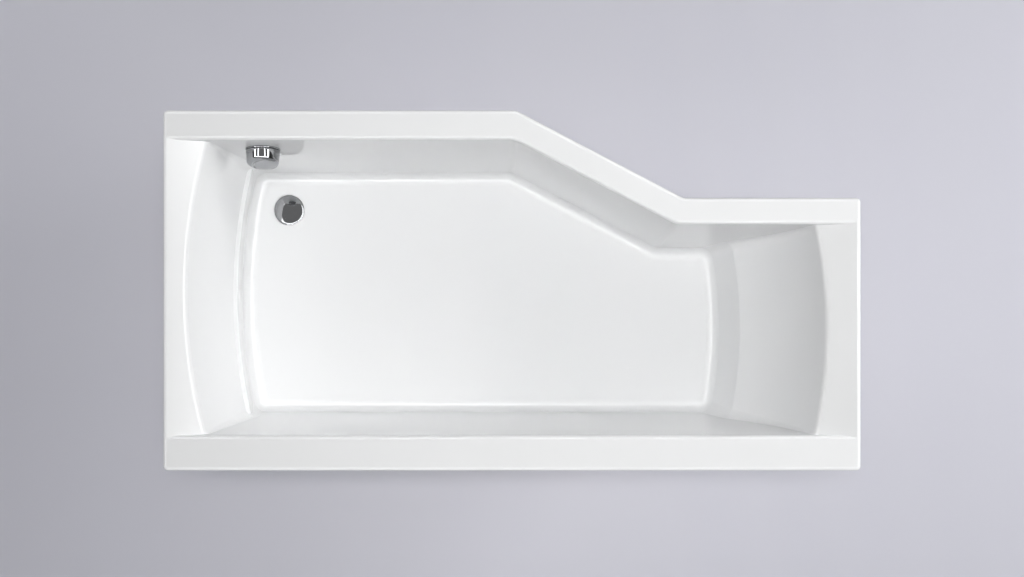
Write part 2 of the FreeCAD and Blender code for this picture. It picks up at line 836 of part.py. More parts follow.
def drain_plug():
    """The domed plug cover with its skirt and stem."""
    rise = "(plug_crown - plug_edge)"
    plug = turned(
        "drain_plug",
        [
            ("0", "plug_crown"),
            ("plug_radius", "plug_edge"),
            ("plug_radius", "plug_seat"),
            ("skirt_radius", "plug_seat"),
            ("skirt_radius", "-skirt_depth"),
            ("stem_radius", "-skirt_depth"),
            ("stem_radius", "stem_radius - stem_bottom"),
            ("0", "-stem_bottom"),
        ],
        bends={0: f"-(plug_radius * plug_radius + {rise} * {rise}) / (2 * {rise})", 6: "-stem_radius"},
    )
    at_drain(plug)
    inside, outside = "skirt_radius + seal_gap", "waste_bore - 3 * seal_gap"
    at_drain(ring("plug_seal", inside, outside, "seal_inset - skirt_depth", "-flange_seat - seal_inset"))


def waste_body():
    """The waste chamber under the floor, with the overflow inlet at its side and a threaded outlet below."""
    body = new_body("waste_body")
    outside = [
        ("0", "-body_top"),
        ("body_flange", "-body_top"),
        ("body_flange", "-body_top - chamber_wall"),
        ("chamber_bore + chamber_wall", "-body_top - 2 * chamber_wall"),
        ("chamber_bore + chamber_wall", "-chamber_depth"),
        ("outlet_thread", "-chamber_depth - chamber_wall"),
        ("outlet_thread", "-outlet_depth"),
        ("0", "-outlet_depth"),
    ]
    turn(body, draw(body, "XZ_Plane", outside))
    side = [("0", "-inlet_drop")]
    spigot = feature(body, "Pad", circles(body, "XZ_Plane", side, "spigot_radius"), Length="inlet_reach")
    spigot.Reversed = True
    inside = [
        ("0", "0"),
        ("waste_tube + stem_gap", "0"),
        ("waste_tube + stem_gap", "-flange_tube_depth - tube_relief"),
        ("chamber_bore", "-flange_tube_depth - chamber_wall"),
        ("chamber_bore", "-chamber_depth + 2 * chamber_wall"),
        ("trap_bore", "-chamber_depth - chamber_wall"),
        ("trap_bore", "-outlet_depth - chamber_wall"),
        ("0", "-outlet_depth - chamber_wall"),
    ]
    bore = draw(body, "XZ_Plane", inside)
    hollow = body.newObject("PartDesign::Groove", "hollow")
    hollow.Profile = bore
    hollow.ReferenceAxis = (bore, ["V_Axis"])
    hollow.Angle = 360
    feature(body, "Pocket", circles(body, "XZ_Plane", side, "pipe_bore"), Length="2 * inlet_reach")
    pin = circles(body, "YZ_Plane", [lever_pivot()], "lever_pin + stem_gap / 2")
    feature(body, "Pocket", pin, both_ways=True, Length="4 * chamber_bore")
    return at_drain(node(body, "waste_body"), WASTE_TURN)


def lever_pivot(along="lever_arm"):
    """A point on the lever, counted from the nose under the stem, in the upright plane of the inlet."""
    nose = "-stem_bottom - lever_half - lever_gap"
    return f"({along}) * cos(lever_dip)", f"{nose} + ({along}) * sin(lever_dip)"


def lift_lever():
    """The rocker that lifts the plug's stem, and its pin across the chamber."""
    body = new_body("lift_lever")
    tail, under, over = "lever_arm + lever_tail", "-lever_half", "lever_half"
    corners = []
    for along, side in (("0", under), (tail, under), (tail, over), ("0", over)):
        y, z = lever_pivot(along)
        corners.append((f"{y} - ({side}) * sin(lever_dip)", f"{z} + ({side}) * cos(lever_dip)"))
    rounded = "tip_round * lever_half"
    bar = draw(body, "YZ_Plane", corners, bends={1: rounded, 3: rounded})
    feature(body, "Pad", bar, both_ways=True, Length="lever_thick")
    eye = circles(body, "YZ_Plane", [lever_pivot()], "lever_pin + lever_play")
    feature(body, "Pocket", eye, both_ways=True, Length="2 * lever_thick")
    at_drain(node(body, "lift_lever"), WASTE_TURN)
    pin = new_body("lever_pin")
    bar = circles(pin, "YZ_Plane", [lever_pivot()], "lever_pin")
    feature(pin, "Pad", bar, both_ways=True, Length="2 * chamber_bore")
    at_drain(node(pin, "lever_pin"), WASTE_TURN)


def trap():
    """The U-bend below the waste, with its collar, seal and union nut."""
    edge = "outlet_thread - seal_inset"
    at_drain(ring("trap_seal", "trap_bore", edge, "-outlet_depth - trap_seal", "-outlet_depth"))
    top = DRAIN.z - size("outlet_depth + trap_seal")
    collar = size("trap_collar")
    low = size("trap_low")
    turn_radius, reach = size("trap_turn"), size("trap_reach")
    leg = DRAIN.x - 2 * turn_radius
    out = size("trap_outlet_height")
    route = [Vector(DRAIN.x, DRAIN.y, top), Vector(DRAIN.x, DRAIN.y, low), Vector(leg, DRAIN.y, low)]
    route += [Vector(leg, DRAIN.y, out), Vector(DRAIN.x - reach, DRAIN.y, out)]
    radius, bore = size("trap_radius"), size("trap_bore")
    pipe = bent_tube(route, [turn_radius, turn_radius, size("trap_rise_turn")], radius, bore)
    neck = Part.makeCylinder(size(edge), collar, route[0] - Vector(0, 0, collar))
    inside = (radius + bore) / 2
    neck = neck.cut(Part.makeCylinder(inside, 3 * collar, route[0] - Vector(0, 0, 2 * collar)))
    shaped("trap_bend", pipe.fuse(neck).removeSplitter())
    shoulder = "-outlet_depth - trap_seal - trap_collar - stem_gap"
    nut = turned(
        "trap_nut",
        [
            ("trap_radius + 2 * stem_gap", f"{shoulder} - chamber_wall"),
            ("outlet_thread + chamber_wall + stem_gap", f"{shoulder} - chamber_wall"),
            ("outlet_thread + chamber_wall + stem_gap", "-chamber_depth - 2 * chamber_wall"),
            ("outlet_thread + stem_gap", "-chamber_depth - 2 * chamber_wall"),
            ("outlet_thread + stem_gap", shoulder),
            ("trap_radius + 2 * stem_gap", shoulder),
        ],
    )
    at_drain(nut)


def overflow_rosette():
    """The ring at the wall with its threaded tube and the spindle's bearing."""
    body = new_body("overflow_rosette")
    profile = [
        ("rosette_bore", "-rosette_tube"),
        ("overflow_hole - stem_gap", "-rosette_tube"),
        ("overflow_hole - stem_gap", "0"),
        ("rosette_radius", "0"),
        ("rosette_radius", "rosette_thick / 2"),
        ("rosette_radius - rosette_thick / 2", "rosette_thick"),
        ("rosette_bore", "rosette_thick"),
    ]
    turn(body, draw(body, "XZ_Plane", profile))
    bearing = "spindle_radius + bearing_play"
    spider(body, "rosette_bore", "bearing_radius", bearing, "bearing_depth", "bearing_long")
    on_wall(node(body, "overflow_rosette"))


def overflow_knob():
    """The domed turning knob, a cup on a spindle, with the crank that pulls the cable."""
    rise = "(knob_crown - knob_side)"
    fit = "spindle_radius + press_play"
    knob = turned(
        "overflow_knob",
        [
            ("knob_back - knob_wall", "knob_start"),
            ("knob_back", "knob_start"),
            ("knob_front", "knob_side"),
            ("0", "knob_crown"),
            ("0", "spindle_front"),
            (fit, "spindle_front"),
            (fit, "knob_start + knob_wall"),
            ("knob_hub", "knob_start + knob_wall"),
            ("knob_hub", "knob_crown - 2 * knob_wall"),
            ("knob_front - knob_wall", "knob_side - knob_wall / 2"),
        ],
        bends={2: f"(knob_front * knob_front + {rise} * {rise}) / (2 * {rise})"},
    )
    on_wall(knob)
    front, back = "spindle_front - stem_gap", "-spindle_back"
    rod = [("0", back), ("spindle_radius", back), ("spindle_radius", front), ("0", front)]
    on_wall(turned("knob_spindle", rod))
    body = new_body("cable_crank")
    half, tip = "crank_half", "crank_throw"
    arm = [(f"-{half}", f"-{half}"), (tip, f"-{half} / 2"), (tip, f"{half} / 2"), (f"-{half}", half)]
    bends = {1: f"tip_round * {half} / 2", 3: f"tip_round * {half}"}
    low = {"z": "-spindle_back"}
    feature(body, "Pad", draw(body, "XY_Plane", arm, bends=bends, shift=low), Length="crank_thick")
    eye = circles(body, "XY_Plane", [("0", "0")], fit, shift=low)
    feature(body, "Pocket", eye, Length="2 * crank_thick").Reversed = True
    on_wall(node(body, "cable_crank"))


def overflow_body():
    """The cup behind the wall, with the spigot for the overflow pipe."""
    body = new_body("overflow_body")
    outside = [
        ("0", "-overflow_seat"),
        ("body_flange", "-overflow_seat"),
        ("body_flange", "-overflow_seat - chamber_wall"),
        ("overflow_cup", "-overflow_seat - 2 * chamber_wall"),
        ("overflow_cup", "-overflow_back"),
        ("0", "-overflow_back"),
    ]
    turn(body, draw(body, "XZ_Plane", outside))
    side = [("0", "-spigot_depth")]
    feature(body, "Pad", circles(body, "XZ_Plane", side, "spigot_radius"), Length="spigot_reach")
    inside = [
        ("0", "0"),
        ("overflow_hole", "0"),
        ("overflow_hole", "-rosette_tube - tube_relief"),
        ("overflow_cup - chamber_wall", "-rosette_tube - chamber_wall"),
        ("overflow_cup - chamber_wall", "chamber_wall - overflow_back"),
        ("0", "chamber_wall - overflow_back"),
    ]
    bore = draw(body, "XZ_Plane", inside)
    hollow = body.newObject("PartDesign::Groove", "hollow")
    hollow.Profile = bore
    hollow.ReferenceAxis = (bore, ["V_Axis"])
    hollow.Angle = 360
    channel = feature(body, "Pocket", circles(body, "XZ_Plane", side, "pipe_bore"), Length="2 * spigot_reach")
    channel.Reversed = True
    on_wall(node(body, "overflow_body"))


def overflow_pipe():
    """The pipe from the overflow to the waste, its two nuts and the cable inside it."""
    route = [PIPE_TOP, PIPE_CORNER, PIPE_END]
    turns = [size("pipe_turn")]
    shaped("overflow_pipe", bent_tube(route, turns, size("pipe_radius"), size("pipe_bore")))
    inside = size("cable_inside")
    cable = [PIPE_TOP - DOWN_WALL * inside, PIPE_CORNER, PIPE_END - TO_PIPE * inside]
    shaped("pull_cable", bent_tube(cable, turns, size("cable_radius")))
    for label, end, towards in (("upper", PIPE_TOP, -DOWN_WALL), ("lower", PIPE_END, -TO_PIPE)):
        nut = turned(
            f"pipe_nut_{label}",
            [
                ("pipe_radius + 2 * stem_gap", "-pipe_nut_grip"),
                ("spigot_radius + chamber_wall + stem_gap", "-pipe_nut_grip"),
                ("spigot_radius + chamber_wall + stem_gap", "pipe_nut_grip"),
                ("spigot_radius + 2 * stem_gap", "pipe_nut_grip"),
                ("spigot_radius + 2 * stem_gap", "-stem_gap"),
                ("pipe_radius + 2 * stem_gap", "-stem_gap"),
            ],
        )
        nut.Placement = Placement(end, Rotation(Vector(0, 0, 1), towards))


tub_shell()
base_board()
for end in ("foot", "head"):
    cross_rail(end)
rail_screws()
for name, (x, y) in FEET.items():
    levelling_foot(name, x, y)
ring_stack("upper_washers", "board_bottom", "washer_thick", hexagon=False)
ring_stack("lower_washers", "board_bottom - rail_sheet - washer_thick", "washer_thick", hexagon=False)
ring_stack("upper_nuts", "board_bottom + washer_thick", "nut_height", hexagon=True)
ring_stack("lower_nuts", "board_bottom - rail_sheet - washer_thick - nut_height", "nut_height", hexagon=True)
waste_flange()
around_hole, within_body = "drain_hole + seal_inset", "body_flange - seal_inset"
at_drain(ring("flange_gasket", around_hole, "flange_radius - seal_inset", "-recess_depth", "-flange_seat"))
at_drain(ring("waste_gasket", around_hole, within_body, "-body_top", "-body_top + gasket_thick"))
drain_plug()
waste_body()
lift_lever()
trap()
overflow_rosette()
on_wall(ring("overflow_gasket", "overflow_hole + seal_inset", within_body, "-overflow_seat", "-skin"))
overflow_knob()
overflow_body()
overflow_pipe()

doc.recompute()
faults = [f"{thing.Name} {thing.State}" for thing in doc.Objects if {"Invalid", "Error"} & set(thing.State)]
faults += [thing.Label for thing in nodes if thing.Shape.isNull() or not thing.Shape.isValid()]
if faults:
    raise SystemExit(f"failed objects: {faults}")

os.makedirs("parts", exist_ok=True)
for thing in nodes:
    thing.Shape.exportStep(f"parts/{thing.Label}.step")
    box = thing.Shape.optimalBoundingBox()
    reach = [f"{low:.1f} to {high:.1f}" for low, high in zip(box.getPoint(4), box.getPoint(2))]
    print(f"{thing.Label}: {len(thing.Shape.Solids)} solids, volume {thing.Shape.Volume:.0f}, {reach}")
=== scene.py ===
# %% [markdown]
# # A corner bathtub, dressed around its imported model
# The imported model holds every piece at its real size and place. This lesson gives those pieces their
# looks: the glossy acrylic skin, the chrome knob and plug, the plumbing and the feet under the tub.
# Each step says what the piece is, how it could be made, and why this way was chosen. Lengths are in
# metres.

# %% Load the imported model
import json
import math

import bmesh
import bpy
from mathutils import Matrix, Vector


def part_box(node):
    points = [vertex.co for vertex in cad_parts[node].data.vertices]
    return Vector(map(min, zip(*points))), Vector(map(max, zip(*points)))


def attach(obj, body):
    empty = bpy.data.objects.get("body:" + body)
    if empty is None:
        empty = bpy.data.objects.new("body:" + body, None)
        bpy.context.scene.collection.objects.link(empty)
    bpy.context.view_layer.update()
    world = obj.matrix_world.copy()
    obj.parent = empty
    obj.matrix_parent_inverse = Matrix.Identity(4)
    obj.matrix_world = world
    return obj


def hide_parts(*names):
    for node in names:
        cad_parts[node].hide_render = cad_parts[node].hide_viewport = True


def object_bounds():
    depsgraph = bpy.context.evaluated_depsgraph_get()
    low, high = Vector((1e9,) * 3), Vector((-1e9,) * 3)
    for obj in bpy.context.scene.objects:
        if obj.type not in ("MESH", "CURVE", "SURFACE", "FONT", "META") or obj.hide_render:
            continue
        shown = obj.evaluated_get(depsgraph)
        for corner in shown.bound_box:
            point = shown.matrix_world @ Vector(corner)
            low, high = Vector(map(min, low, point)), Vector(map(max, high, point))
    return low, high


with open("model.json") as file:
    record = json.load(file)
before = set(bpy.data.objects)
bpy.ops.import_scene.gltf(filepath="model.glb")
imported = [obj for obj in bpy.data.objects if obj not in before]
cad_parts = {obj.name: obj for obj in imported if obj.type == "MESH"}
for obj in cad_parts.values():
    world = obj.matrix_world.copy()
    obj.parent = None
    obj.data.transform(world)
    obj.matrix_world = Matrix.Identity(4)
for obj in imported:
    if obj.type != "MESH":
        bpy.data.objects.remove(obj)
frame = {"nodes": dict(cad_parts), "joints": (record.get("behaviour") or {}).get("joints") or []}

cad_low, cad_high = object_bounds()
print("model box", tuple(cad_low), tuple(cad_high))

# %% [markdown]
# ## Writing shader maths as plain sums
# A material is a graph of nodes. Drawing it by hand is quick, but a script full of links is hard to
# read. So one small class wraps a socket: a sum or product of two values adds the Math node for it, and
# any other node comes from one method.

# %% A socket that understands arithmetic
# Places of the sockets on a Mix node that mixes colours
MIX_FACTOR = 0
MIX_FROM = 6
MIX_TO = 7
MIX_RESULT = 2


class Value:
    """One output in a material's node tree."""

    def __init__(self, tree, socket=None):
        self.tree = tree
        self.socket = socket

    def node(self, kind, settings=None, inputs=None, output=0):
        """Add a node: its settings first, then its sockets. Gives back one of its outputs."""
        made = self.tree.nodes.new(kind)
        for name, setting in (settings or {}).items():
            if name == "stops":
                fill_ramp(made.color_ramp, setting)
            else:
                setattr(made, name, setting)
        for name, given in (inputs or {}).items():
            if isinstance(given, Value):
                self.tree.links.new(given.socket, made.inputs[name])
            else:
                made.inputs[name].default_value = given
        return Value(self.tree, made.outputs[output])

    def math(self, operation, first, second):
        return self.node("ShaderNodeMath", {"operation": operation}, {0: first, 1: second})

    def __add__(self, other):
        return self.math("ADD", self, other)

    def __radd__(self, other):
        return self.math("ADD", other, self)

    def __sub__(self, other):
        return self.math("SUBTRACT", self, other)

    def __rsub__(self, other):
        return self.math("SUBTRACT", other, self)

    def __mul__(self, other):
        return self.math("MULTIPLY", self, other)

    def __rmul__(self, other):
        return self.math("MULTIPLY", other, self)

    def ramp(self, *stops):
        """A brightness that follows this value through stops of place and brightness."""
        return self.node("ShaderNodeValToRGB", {"stops": stops}, {"Fac": self})

    def between(self, first, second):
        """A colour that goes from the first to the second as this value goes from 0 to 1."""
        sockets = {MIX_FACTOR: self, MIX_FROM: first, MIX_TO: second}
        return self.node("ShaderNodeMix", {"data_type": "RGBA"}, sockets, output=MIX_RESULT)


def fill_ramp(ramp, stops):
    """Give a colour ramp its stops of place and brightness."""
    while len(ramp.elements) < len(stops):
        ramp.elements.new(1.0)
    for element, (place, bright) in zip(ramp.elements, stops):
        element.position = place
        element.color = (bright, bright, bright, 1.0)


print("sums, products, ramps and mixes of sockets can be written as plain Python")

# %% [markdown]
# ## Finishes
# Every finish starts from the Principled shader. What is the same all over, such as the index of
# refraction, is set on the shader itself. What changes over the surface, such as a colour or a bump, is
# worked out from the object's own coordinates, so it stays put when a piece moves.

# %% Start a finish


class Finish:
    """A new material with its Principled shader and the object's coordinates."""

    def __init__(self, name, **sockets):
        self.material = bpy.data.materials.new(name)
        self.material.use_nodes = True
        self.tree = self.material.node_tree
        self.shader = self.tree.nodes["Principled BSDF"]
        self.place = Value(self.tree).node("ShaderNodeTexCoord", output="Object")
        for socket, constant in sockets.items():
            self.shader.inputs[socket.replace("_", " ")].default_value = constant

    def stretched(self, stretch):
        """The object's coordinates, scaled along each axis."""
        return self.place.node("ShaderNodeMapping", inputs={"Vector": self.place, "Scale": stretch})

    def noise(self, scale, detail=4.0, roughness=0.5, stretch=(1, 1, 1)):
        """Cloudy noise with that many waves in a metre."""
        sockets = {"Scale": scale, "Detail": detail, "Roughness": roughness}
        sockets["Vector"] = self.stretched(stretch)
        return self.place.node("ShaderNodeTexNoise", inputs=sockets)

    def flakes(self, scale, stretch=(1, 1, 1)):
        """Random flakes with that many in a metre."""
        sockets = {"Scale": scale, "Vector": self.stretched(stretch)}
        return self.place.node("ShaderNodeTexVoronoi", inputs=sockets, output="Color")

    def feed(self, **links):
        """Link values to the shader's sockets."""
        for socket, value in links.items():
            self.tree.links.new(value.socket, self.shader.inputs[socket.replace("_", " ")])
        return self

    def bump(self, height, distance):
        """Raise the surface by a value, up to a distance in metres."""
        sockets = {"Height": height, "Distance": distance}
        return self.feed(Normal=self.place.node("ShaderNodeBump", inputs=sockets))


def colour(red, green, blue):
    return (red, green, blue, 1.0)


print("a finish can have noise, flakes and a bump")

# %% [markdown]
# ### Acrylic and its laminated back
# A bathtub like this is a sheet of white acrylic, drawn over a mould and sprayed with glass fibre and
# resin from behind. The wet face is glossy, with the very faint waviness of a drawn sheet. The back is
# matt, cream, and shows its chopped fibres. Two noises that are stretched crosswise look like strands,
# and need no picture of them.

# %% Acrylic and laminate
FINISHES = {}


def show_finishes():
    print(len(FINISHES), "finishes:", ", ".join(FINISHES))


def acrylic():
    made = Finish("gloss_white_acrylic", IOR=1.49)
    cloud = made.noise(3.0, detail=2.0)
    ripple = made.noise(55.0, detail=1.0)
    made.feed(
        Base_Color=cloud.between(colour(0.855, 0.86, 0.865), colour(0.875, 0.88, 0.885)),
        Roughness=0.02 + 0.03 * cloud,
    )
    return made.bump(ripple, 0.00001).material


def laminate():
    made = Finish("fibre_laminate", IOR=1.5)
    strands = made.noise(240.0, detail=6.0, roughness=0.7, stretch=(1.0, 0.12, 1.0))
    across = made.noise(240.0, detail=6.0, roughness=0.7, stretch=(0.12, 1.0, 0.5))
    fibres = (strands * across).ramp((0.16, 0.0), (0.36, 1.0))
    made.feed(
        Base_Color=fibres.between(colour(0.68, 0.65, 0.57), colour(0.83, 0.81, 0.75)),
        Roughness=0.62 - 0.2 * fibres,
    )
    return made.bump(fibres + 0.6 * made.noise(30.0), 0.0006).material


FINISHES["acrylic"] = acrylic()
FINISHES["laminate"] = laminate()
show_finishes()

# %% [markdown]
# ### Metals
# The knob, rosette, plug and flange are plated with chrome, so almost everything that they show is a
# reflection. Only faint smears vary their gloss. The feet and rails are zinc plated: duller, with
# flecks of light and dark crystal. A picture of zinc would repeat, so noise and random flakes draw them.

# %% Chrome, zinc and steel


def chrome():
    made = Finish("polished_chrome", Metallic=1.0)
    smear = made.noise(30.0, detail=6.0, roughness=0.6)
    made.feed(
        Base_Color=smear.between(colour(0.335, 0.34, 0.35), colour(0.375, 0.38, 0.39)),
        Roughness=0.02 + 0.04 * smear,
    )
    return made.material


def galvanised():
    made = Finish("galvanised_sheet", Metallic=1.0)
    fleck = made.flakes(160.0).ramp((0.1, 0.0), (0.9, 1.0))
    made.feed(
        Base_Color=fleck.between(colour(0.46, 0.47, 0.48), colour(0.66, 0.67, 0.68)),
        Roughness=0.32 + 0.22 * fleck,
    )
    return made.bump(made.noise(400.0), 0.00005).material


def zinc(name, light, dark):
    made = Finish(name, Metallic=1.0)
    stain = made.noise(120.0, detail=8.0, roughness=0.65).ramp((0.35, 0.0), (0.7, 1.0))
    made.feed(Base_Color=stain.between(light, dark), Roughness=0.26 + 0.25 * stain)
    return made.bump(made.noise(900.0, detail=2.0), 0.00003).material


FINISHES["chrome"] = chrome()
FINISHES["rail"] = galvanised()
FINISHES["fastener"] = zinc("zinc_plated_fastener", colour(0.62, 0.61, 0.56), colour(0.45, 0.44, 0.40))
FINISHES["rod"] = zinc("zinc_plated_rod", colour(0.60, 0.60, 0.60), colour(0.38, 0.38, 0.39))
FINISHES["pin_steel"] = zinc("bright_steel", colour(0.62, 0.62, 0.63), colour(0.52, 0.52, 0.53))
show_finishes()

# %% [markdown]
# ### Plastics, rubber and board
# The plumbing is moulded in grey-white plastic with a fine satin grain. Seals and foot pads are black.
# They differ only in colour, gloss and grain, so one function and a table make them all. The board under
# the floor is chipboard, pressed from flakes of several browns.

# %% Plastics, rubber and chipboard
# Each row: the material's name, its light and dark colour, its roughness, its grains in a metre
PLASTICS = {
    "pipework": ("pipe_plastic", (0.70, 0.70, 0.68), (0.64, 0.64, 0.62), 0.34, 700.0),
    "nut_plastic": ("nut_plastic", (0.60, 0.60, 0.58), (0.54, 0.54, 0.53), 0.38, 700.0),
    "works": ("works_plastic", (0.05, 0.05, 0.055), (0.035, 0.035, 0.04), 0.36, 700.0),
    "seal": ("black_rubber", (0.022, 0.022, 0.023), (0.014, 0.014, 0.015), 0.62, 1500.0),
    "foot": ("pad_plastic", (0.025, 0.025, 0.028), (0.017, 0.017, 0.019), 0.45, 1200.0),
    "cable": ("cable_sheath", (0.020, 0.020, 0.022), (0.013, 0.013, 0.014), 0.48, 700.0),
}


def plastic(name, light, dark, roughness, grain):
    made = Finish(name, IOR=1.5)
    cloud = made.noise(25.0, detail=5.0)
    fine = made.noise(grain, detail=2.0)
    made.feed(
        Base_Color=cloud.between(colour(*dark), colour(*light)),
        Roughness=roughness + 0.12 * fine,
    )
    return made.bump(fine, 0.00004).material


def chipboard():
    made = Finish("raw_chipboard", IOR=1.45)
    chips = made.flakes(420.0, stretch=(1.0, 0.35, 1.0)).ramp((0.15, 0.0), (0.85, 1.0))
    dust = made.noise(900.0, detail=6.0, roughness=0.7)
    tone = 0.7 * chips + 0.3 * dust
    made.feed(
        Base_Color=tone.between(colour(0.36, 0.25, 0.15), colour(0.68, 0.54, 0.37)),
        Roughness=0.72 + 0.15 * dust,
    )
    return made.bump(tone, 0.0003).material


for slot, row in PLASTICS.items():
    FINISHES[slot] = plastic(*row)
FINISHES["board"] = chipboard()
show_finishes()

# %% [markdown]
# ## Turning a mesh into a piece
# Every piece ends the same way: doubles are merged, normals point outwards, smooth shading stops at
# sharp edges, the piece hangs from the empty of the body that carries it, and the CAD nodes it stands
# for are hidden. A copy of a CAD node brings the true normals of the solid's surfaces along, and those
# are used in place of averaged ones.

# %% From a shape to a piece
WELD = 2e-6
TRUE_NORMAL = "true_normal"
SMOOTH_BELOW = math.radians(38)


def merge(shape):
    """Close seams and poles, and point the faces outwards."""
    bmesh.ops.remove_doubles(shape, verts=shape.verts, dist=WELD)
    bmesh.ops.recalc_face_normals(shape, faces=shape.faces)
    return shape


def piece(name, shape, slot, body, *stands_for):
    """Make an object of a shape that rides on a body and stands for CAD nodes."""
    merge(shape)
    mesh = bpy.data.meshes.new(name)
    shape.to_mesh(mesh)
    shape.free()
    mesh.shade_smooth()
    remembered = mesh.attributes.get(TRUE_NORMAL)
    if remembered:
        mesh.normals_split_custom_set([corner.vector.copy() for corner in remembered.data])
        mesh.attributes.remove(mesh.attributes[TRUE_NORMAL])
    else:
        mesh.set_sharp_from_angle(angle=SMOOTH_BELOW)
    mesh.materials.append(FINISHES[slot])
    thing = bpy.data.objects.new(name, mesh)
    bpy.context.scene.collection.objects.link(thing)
    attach(thing, body)
    if stands_for:
        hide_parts(*stands_for)
    print(name, len(mesh.polygons), "faces")
    return thing


print("doubles closer than", WELD, "are merged")

# %% [markdown]
# ## The tub's skin
# The moulding is the heart of the object, and the CAD solid already has its exact curves. A rebuilt
# mesh could only come near them, so the skin is a merged copy of the solid. It keeps the solid's own
# normals on its corners: long thin triangles would smear averaged ones, and with the true ones the wide
# flats stay flat and the narrow roundings carry the highlights. Faces on the wet side get acrylic and
# the rest laminate.

# %% Tub skin
LIP_SKIN = 0.003
LIP_REACH = 0.036
FACES_UP = 0.3
WELL_HEART = Vector((-0.05, -0.02, 0.45))
CHAMFER_START = Vector((0.009, 0.3875))
CHAMFER_END = Vector((0.368, 0.199))
WET = 0
DRY = 1


def node_copy(node):
    """A copy of a CAD node's mesh that remembers the true normals of the solid's surfaces."""
    source = frame["nodes"][node].data
    normals = [corner.vector.copy() for corner in source.corner_normals]
    starts = [face.loop_start for face in source.polygons]
    shape = bmesh.new()
    shape.from_mesh(source)
    remembered = shape.loops.layers.float_vector.new(TRUE_NORMAL)
    for face, start in zip(shape.faces, starts):
        for step, loop in enumerate(face.loops):
            loop[remembered] = normals[start + step]
    return shape


def inside_rim(point):
    """How far a point lies inside the rim's outline."""
    slope = (CHAMFER_END - CHAMFER_START).normalized()
    across = Vector((slope.y, -slope.x))
    margins = [cad_high.x - abs(point.x), cad_high.y - abs(point.y)]
    if point.x > CHAMFER_END.x:
        margins.append(CHAMFER_END.y - point.y)
    elif point.x > CHAMFER_START.x:
        margins.append(max((point.xy - CHAMFER_START).dot(across), 0))
    return min(margins)


def wet_side(face):
    """Whether a face is on the rim's top, on its lip, or turned towards the well."""
    centre = face.calc_center_median()
    at_rim = centre.z > cad_high.z - LIP_REACH
    on_rim = at_rim and (face.normal.z > FACES_UP or inside_rim(centre) < LIP_SKIN)
    return on_rim or face.normal.dot(WELL_HEART - centre) > 0


skin = merge(node_copy("tub_shell"))
for face in skin.faces:
    face.material_index = WET if wet_side(face) else DRY
print("wet faces", sum(face.material_index == WET for face in skin.faces), "of", len(skin.faces))
tub = piece("tub_skin", skin, "acrylic", "tub", "tub_shell")
tub.data.materials.append(FINISHES["laminate"])

# %% [markdown]
# ## The ridge at the foot end
# Where the tall end wall meets its low riser, the moulding has a narrow ledge, which catches the light
# as a bright line. It could be cut into the skin, but a slim wedge that is spun along the wall's arc and
# sinks into the skin keeps the exact curves beside it.

# %% Foot-end ridge
FOOT_AXIS = 0.626
RIDGE_RADIUS = 1.278
RIDGE_HEIGHT = 0.275
RIDGE_STEPS = 64
RIDGE_BACK_Y = 0.2945
RIDGE_FRONT_Y = 0.2825
# How far each corner of the wedge lies behind the ridge's arc and above its height
LEDGE = [
    (0.003, 0.0105),
    (0.0017, 0.0095),
    (-0.0050, 0.0062),
    (-0.0062, 0.0053),
    (-0.0068, 0.0038),
    (-0.0069, 0),
    (-0.0038, -0.075),
    (0, -0.075),
]

ridge = bmesh.new()
arc_middle = FOOT_AXIS - RIDGE_RADIUS
corners = [ridge.verts.new((arc_middle - behind, 0, RIDGE_HEIGHT + above)) for behind, above in LEDGE]
edges = [ridge.edges.new(pair) for pair in zip(corners, corners[1:] + corners[:1])]
about = (FOOT_AXIS, 0, 0)
to_back = math.asin(RIDGE_BACK_Y / RIDGE_RADIUS)
to_front = math.asin(RIDGE_FRONT_Y / RIDGE_RADIUS)
bmesh.ops.rotate(ridge, verts=corners, cent=about, matrix=Matrix.Rotation(-to_back, 3, "Z"))
bmesh.ops.spin(
    ridge, geom=corners + edges, axis=(0, 0, 1), cent=about, angle=to_back + to_front, steps=RIDGE_STEPS
)
bmesh.ops.holes_fill(ridge, edges=[edge for edge in ridge.edges if edge.is_boundary])
piece("foot_end_ridge", ridge, "acrylic", "tub")

# %% [markdown]
# ## The overflow knob
# The knob on the long wall is a tapered cup on a thin rosette. Its front is nearly flat and, at rest,
# leans back to face the bather. It is a lathe shape, so it is spun from half a profile, its front is
# leaned by a shear, and its edges are rounded with a bevel. The joint in the frame already knows where
# its axis lies, and the matrix of the wall is read from that joint.

# %% Lathe and bevel


def spun(profile, steps=96, closed=True):
    """Turn half a profile of radius and height about Z."""
    shape = bmesh.new()
    corners = [shape.verts.new((radius, 0, height)) for radius, height in profile]
    pairs = list(zip(corners, corners[1:]))
    if closed:
        pairs.append((corners[-1], corners[0]))
    edges = [shape.edges.new(pair) for pair in pairs]
    bmesh.ops.spin(
        shape, geom=corners + edges, axis=(0, 0, 1), cent=(0, 0, 0), angle=math.tau, steps=steps,
        use_merge=True,
    )
    return merge(shape)


def rounded(shape, radius, segments=3, sharper_than=30):
    """Round the edges that are sharper than an angle in degrees."""
    limit = math.radians(sharper_than)
    edges = [edge for edge in shape.edges if edge.is_manifold and edge.calc_face_angle(0) > limit]
    bmesh.ops.bevel(
        shape, geom=edges, affect="EDGES", offset=radius, segments=segments, profile=0.5, material=-1,
        clamp_overlap=True,
    )
    return shape


def moved(shape, matrix):
    bmesh.ops.transform(shape, matrix=matrix, verts=shape.verts)
    return shape


turning = next(joint for joint in frame["joints"] if joint["name"] == "knob_turn")
out_of_wall = Vector(turning["axis"]).normalized()
along_wall = Vector((1, 0, 0))
ON_WALL = Matrix((along_wall, out_of_wall.cross(along_wall), out_of_wall)).transposed().to_4x4()
ON_WALL.translation = Vector(turning["pos_m"])
print("knob at", tuple(round(number, 4) for number in ON_WALL.translation))

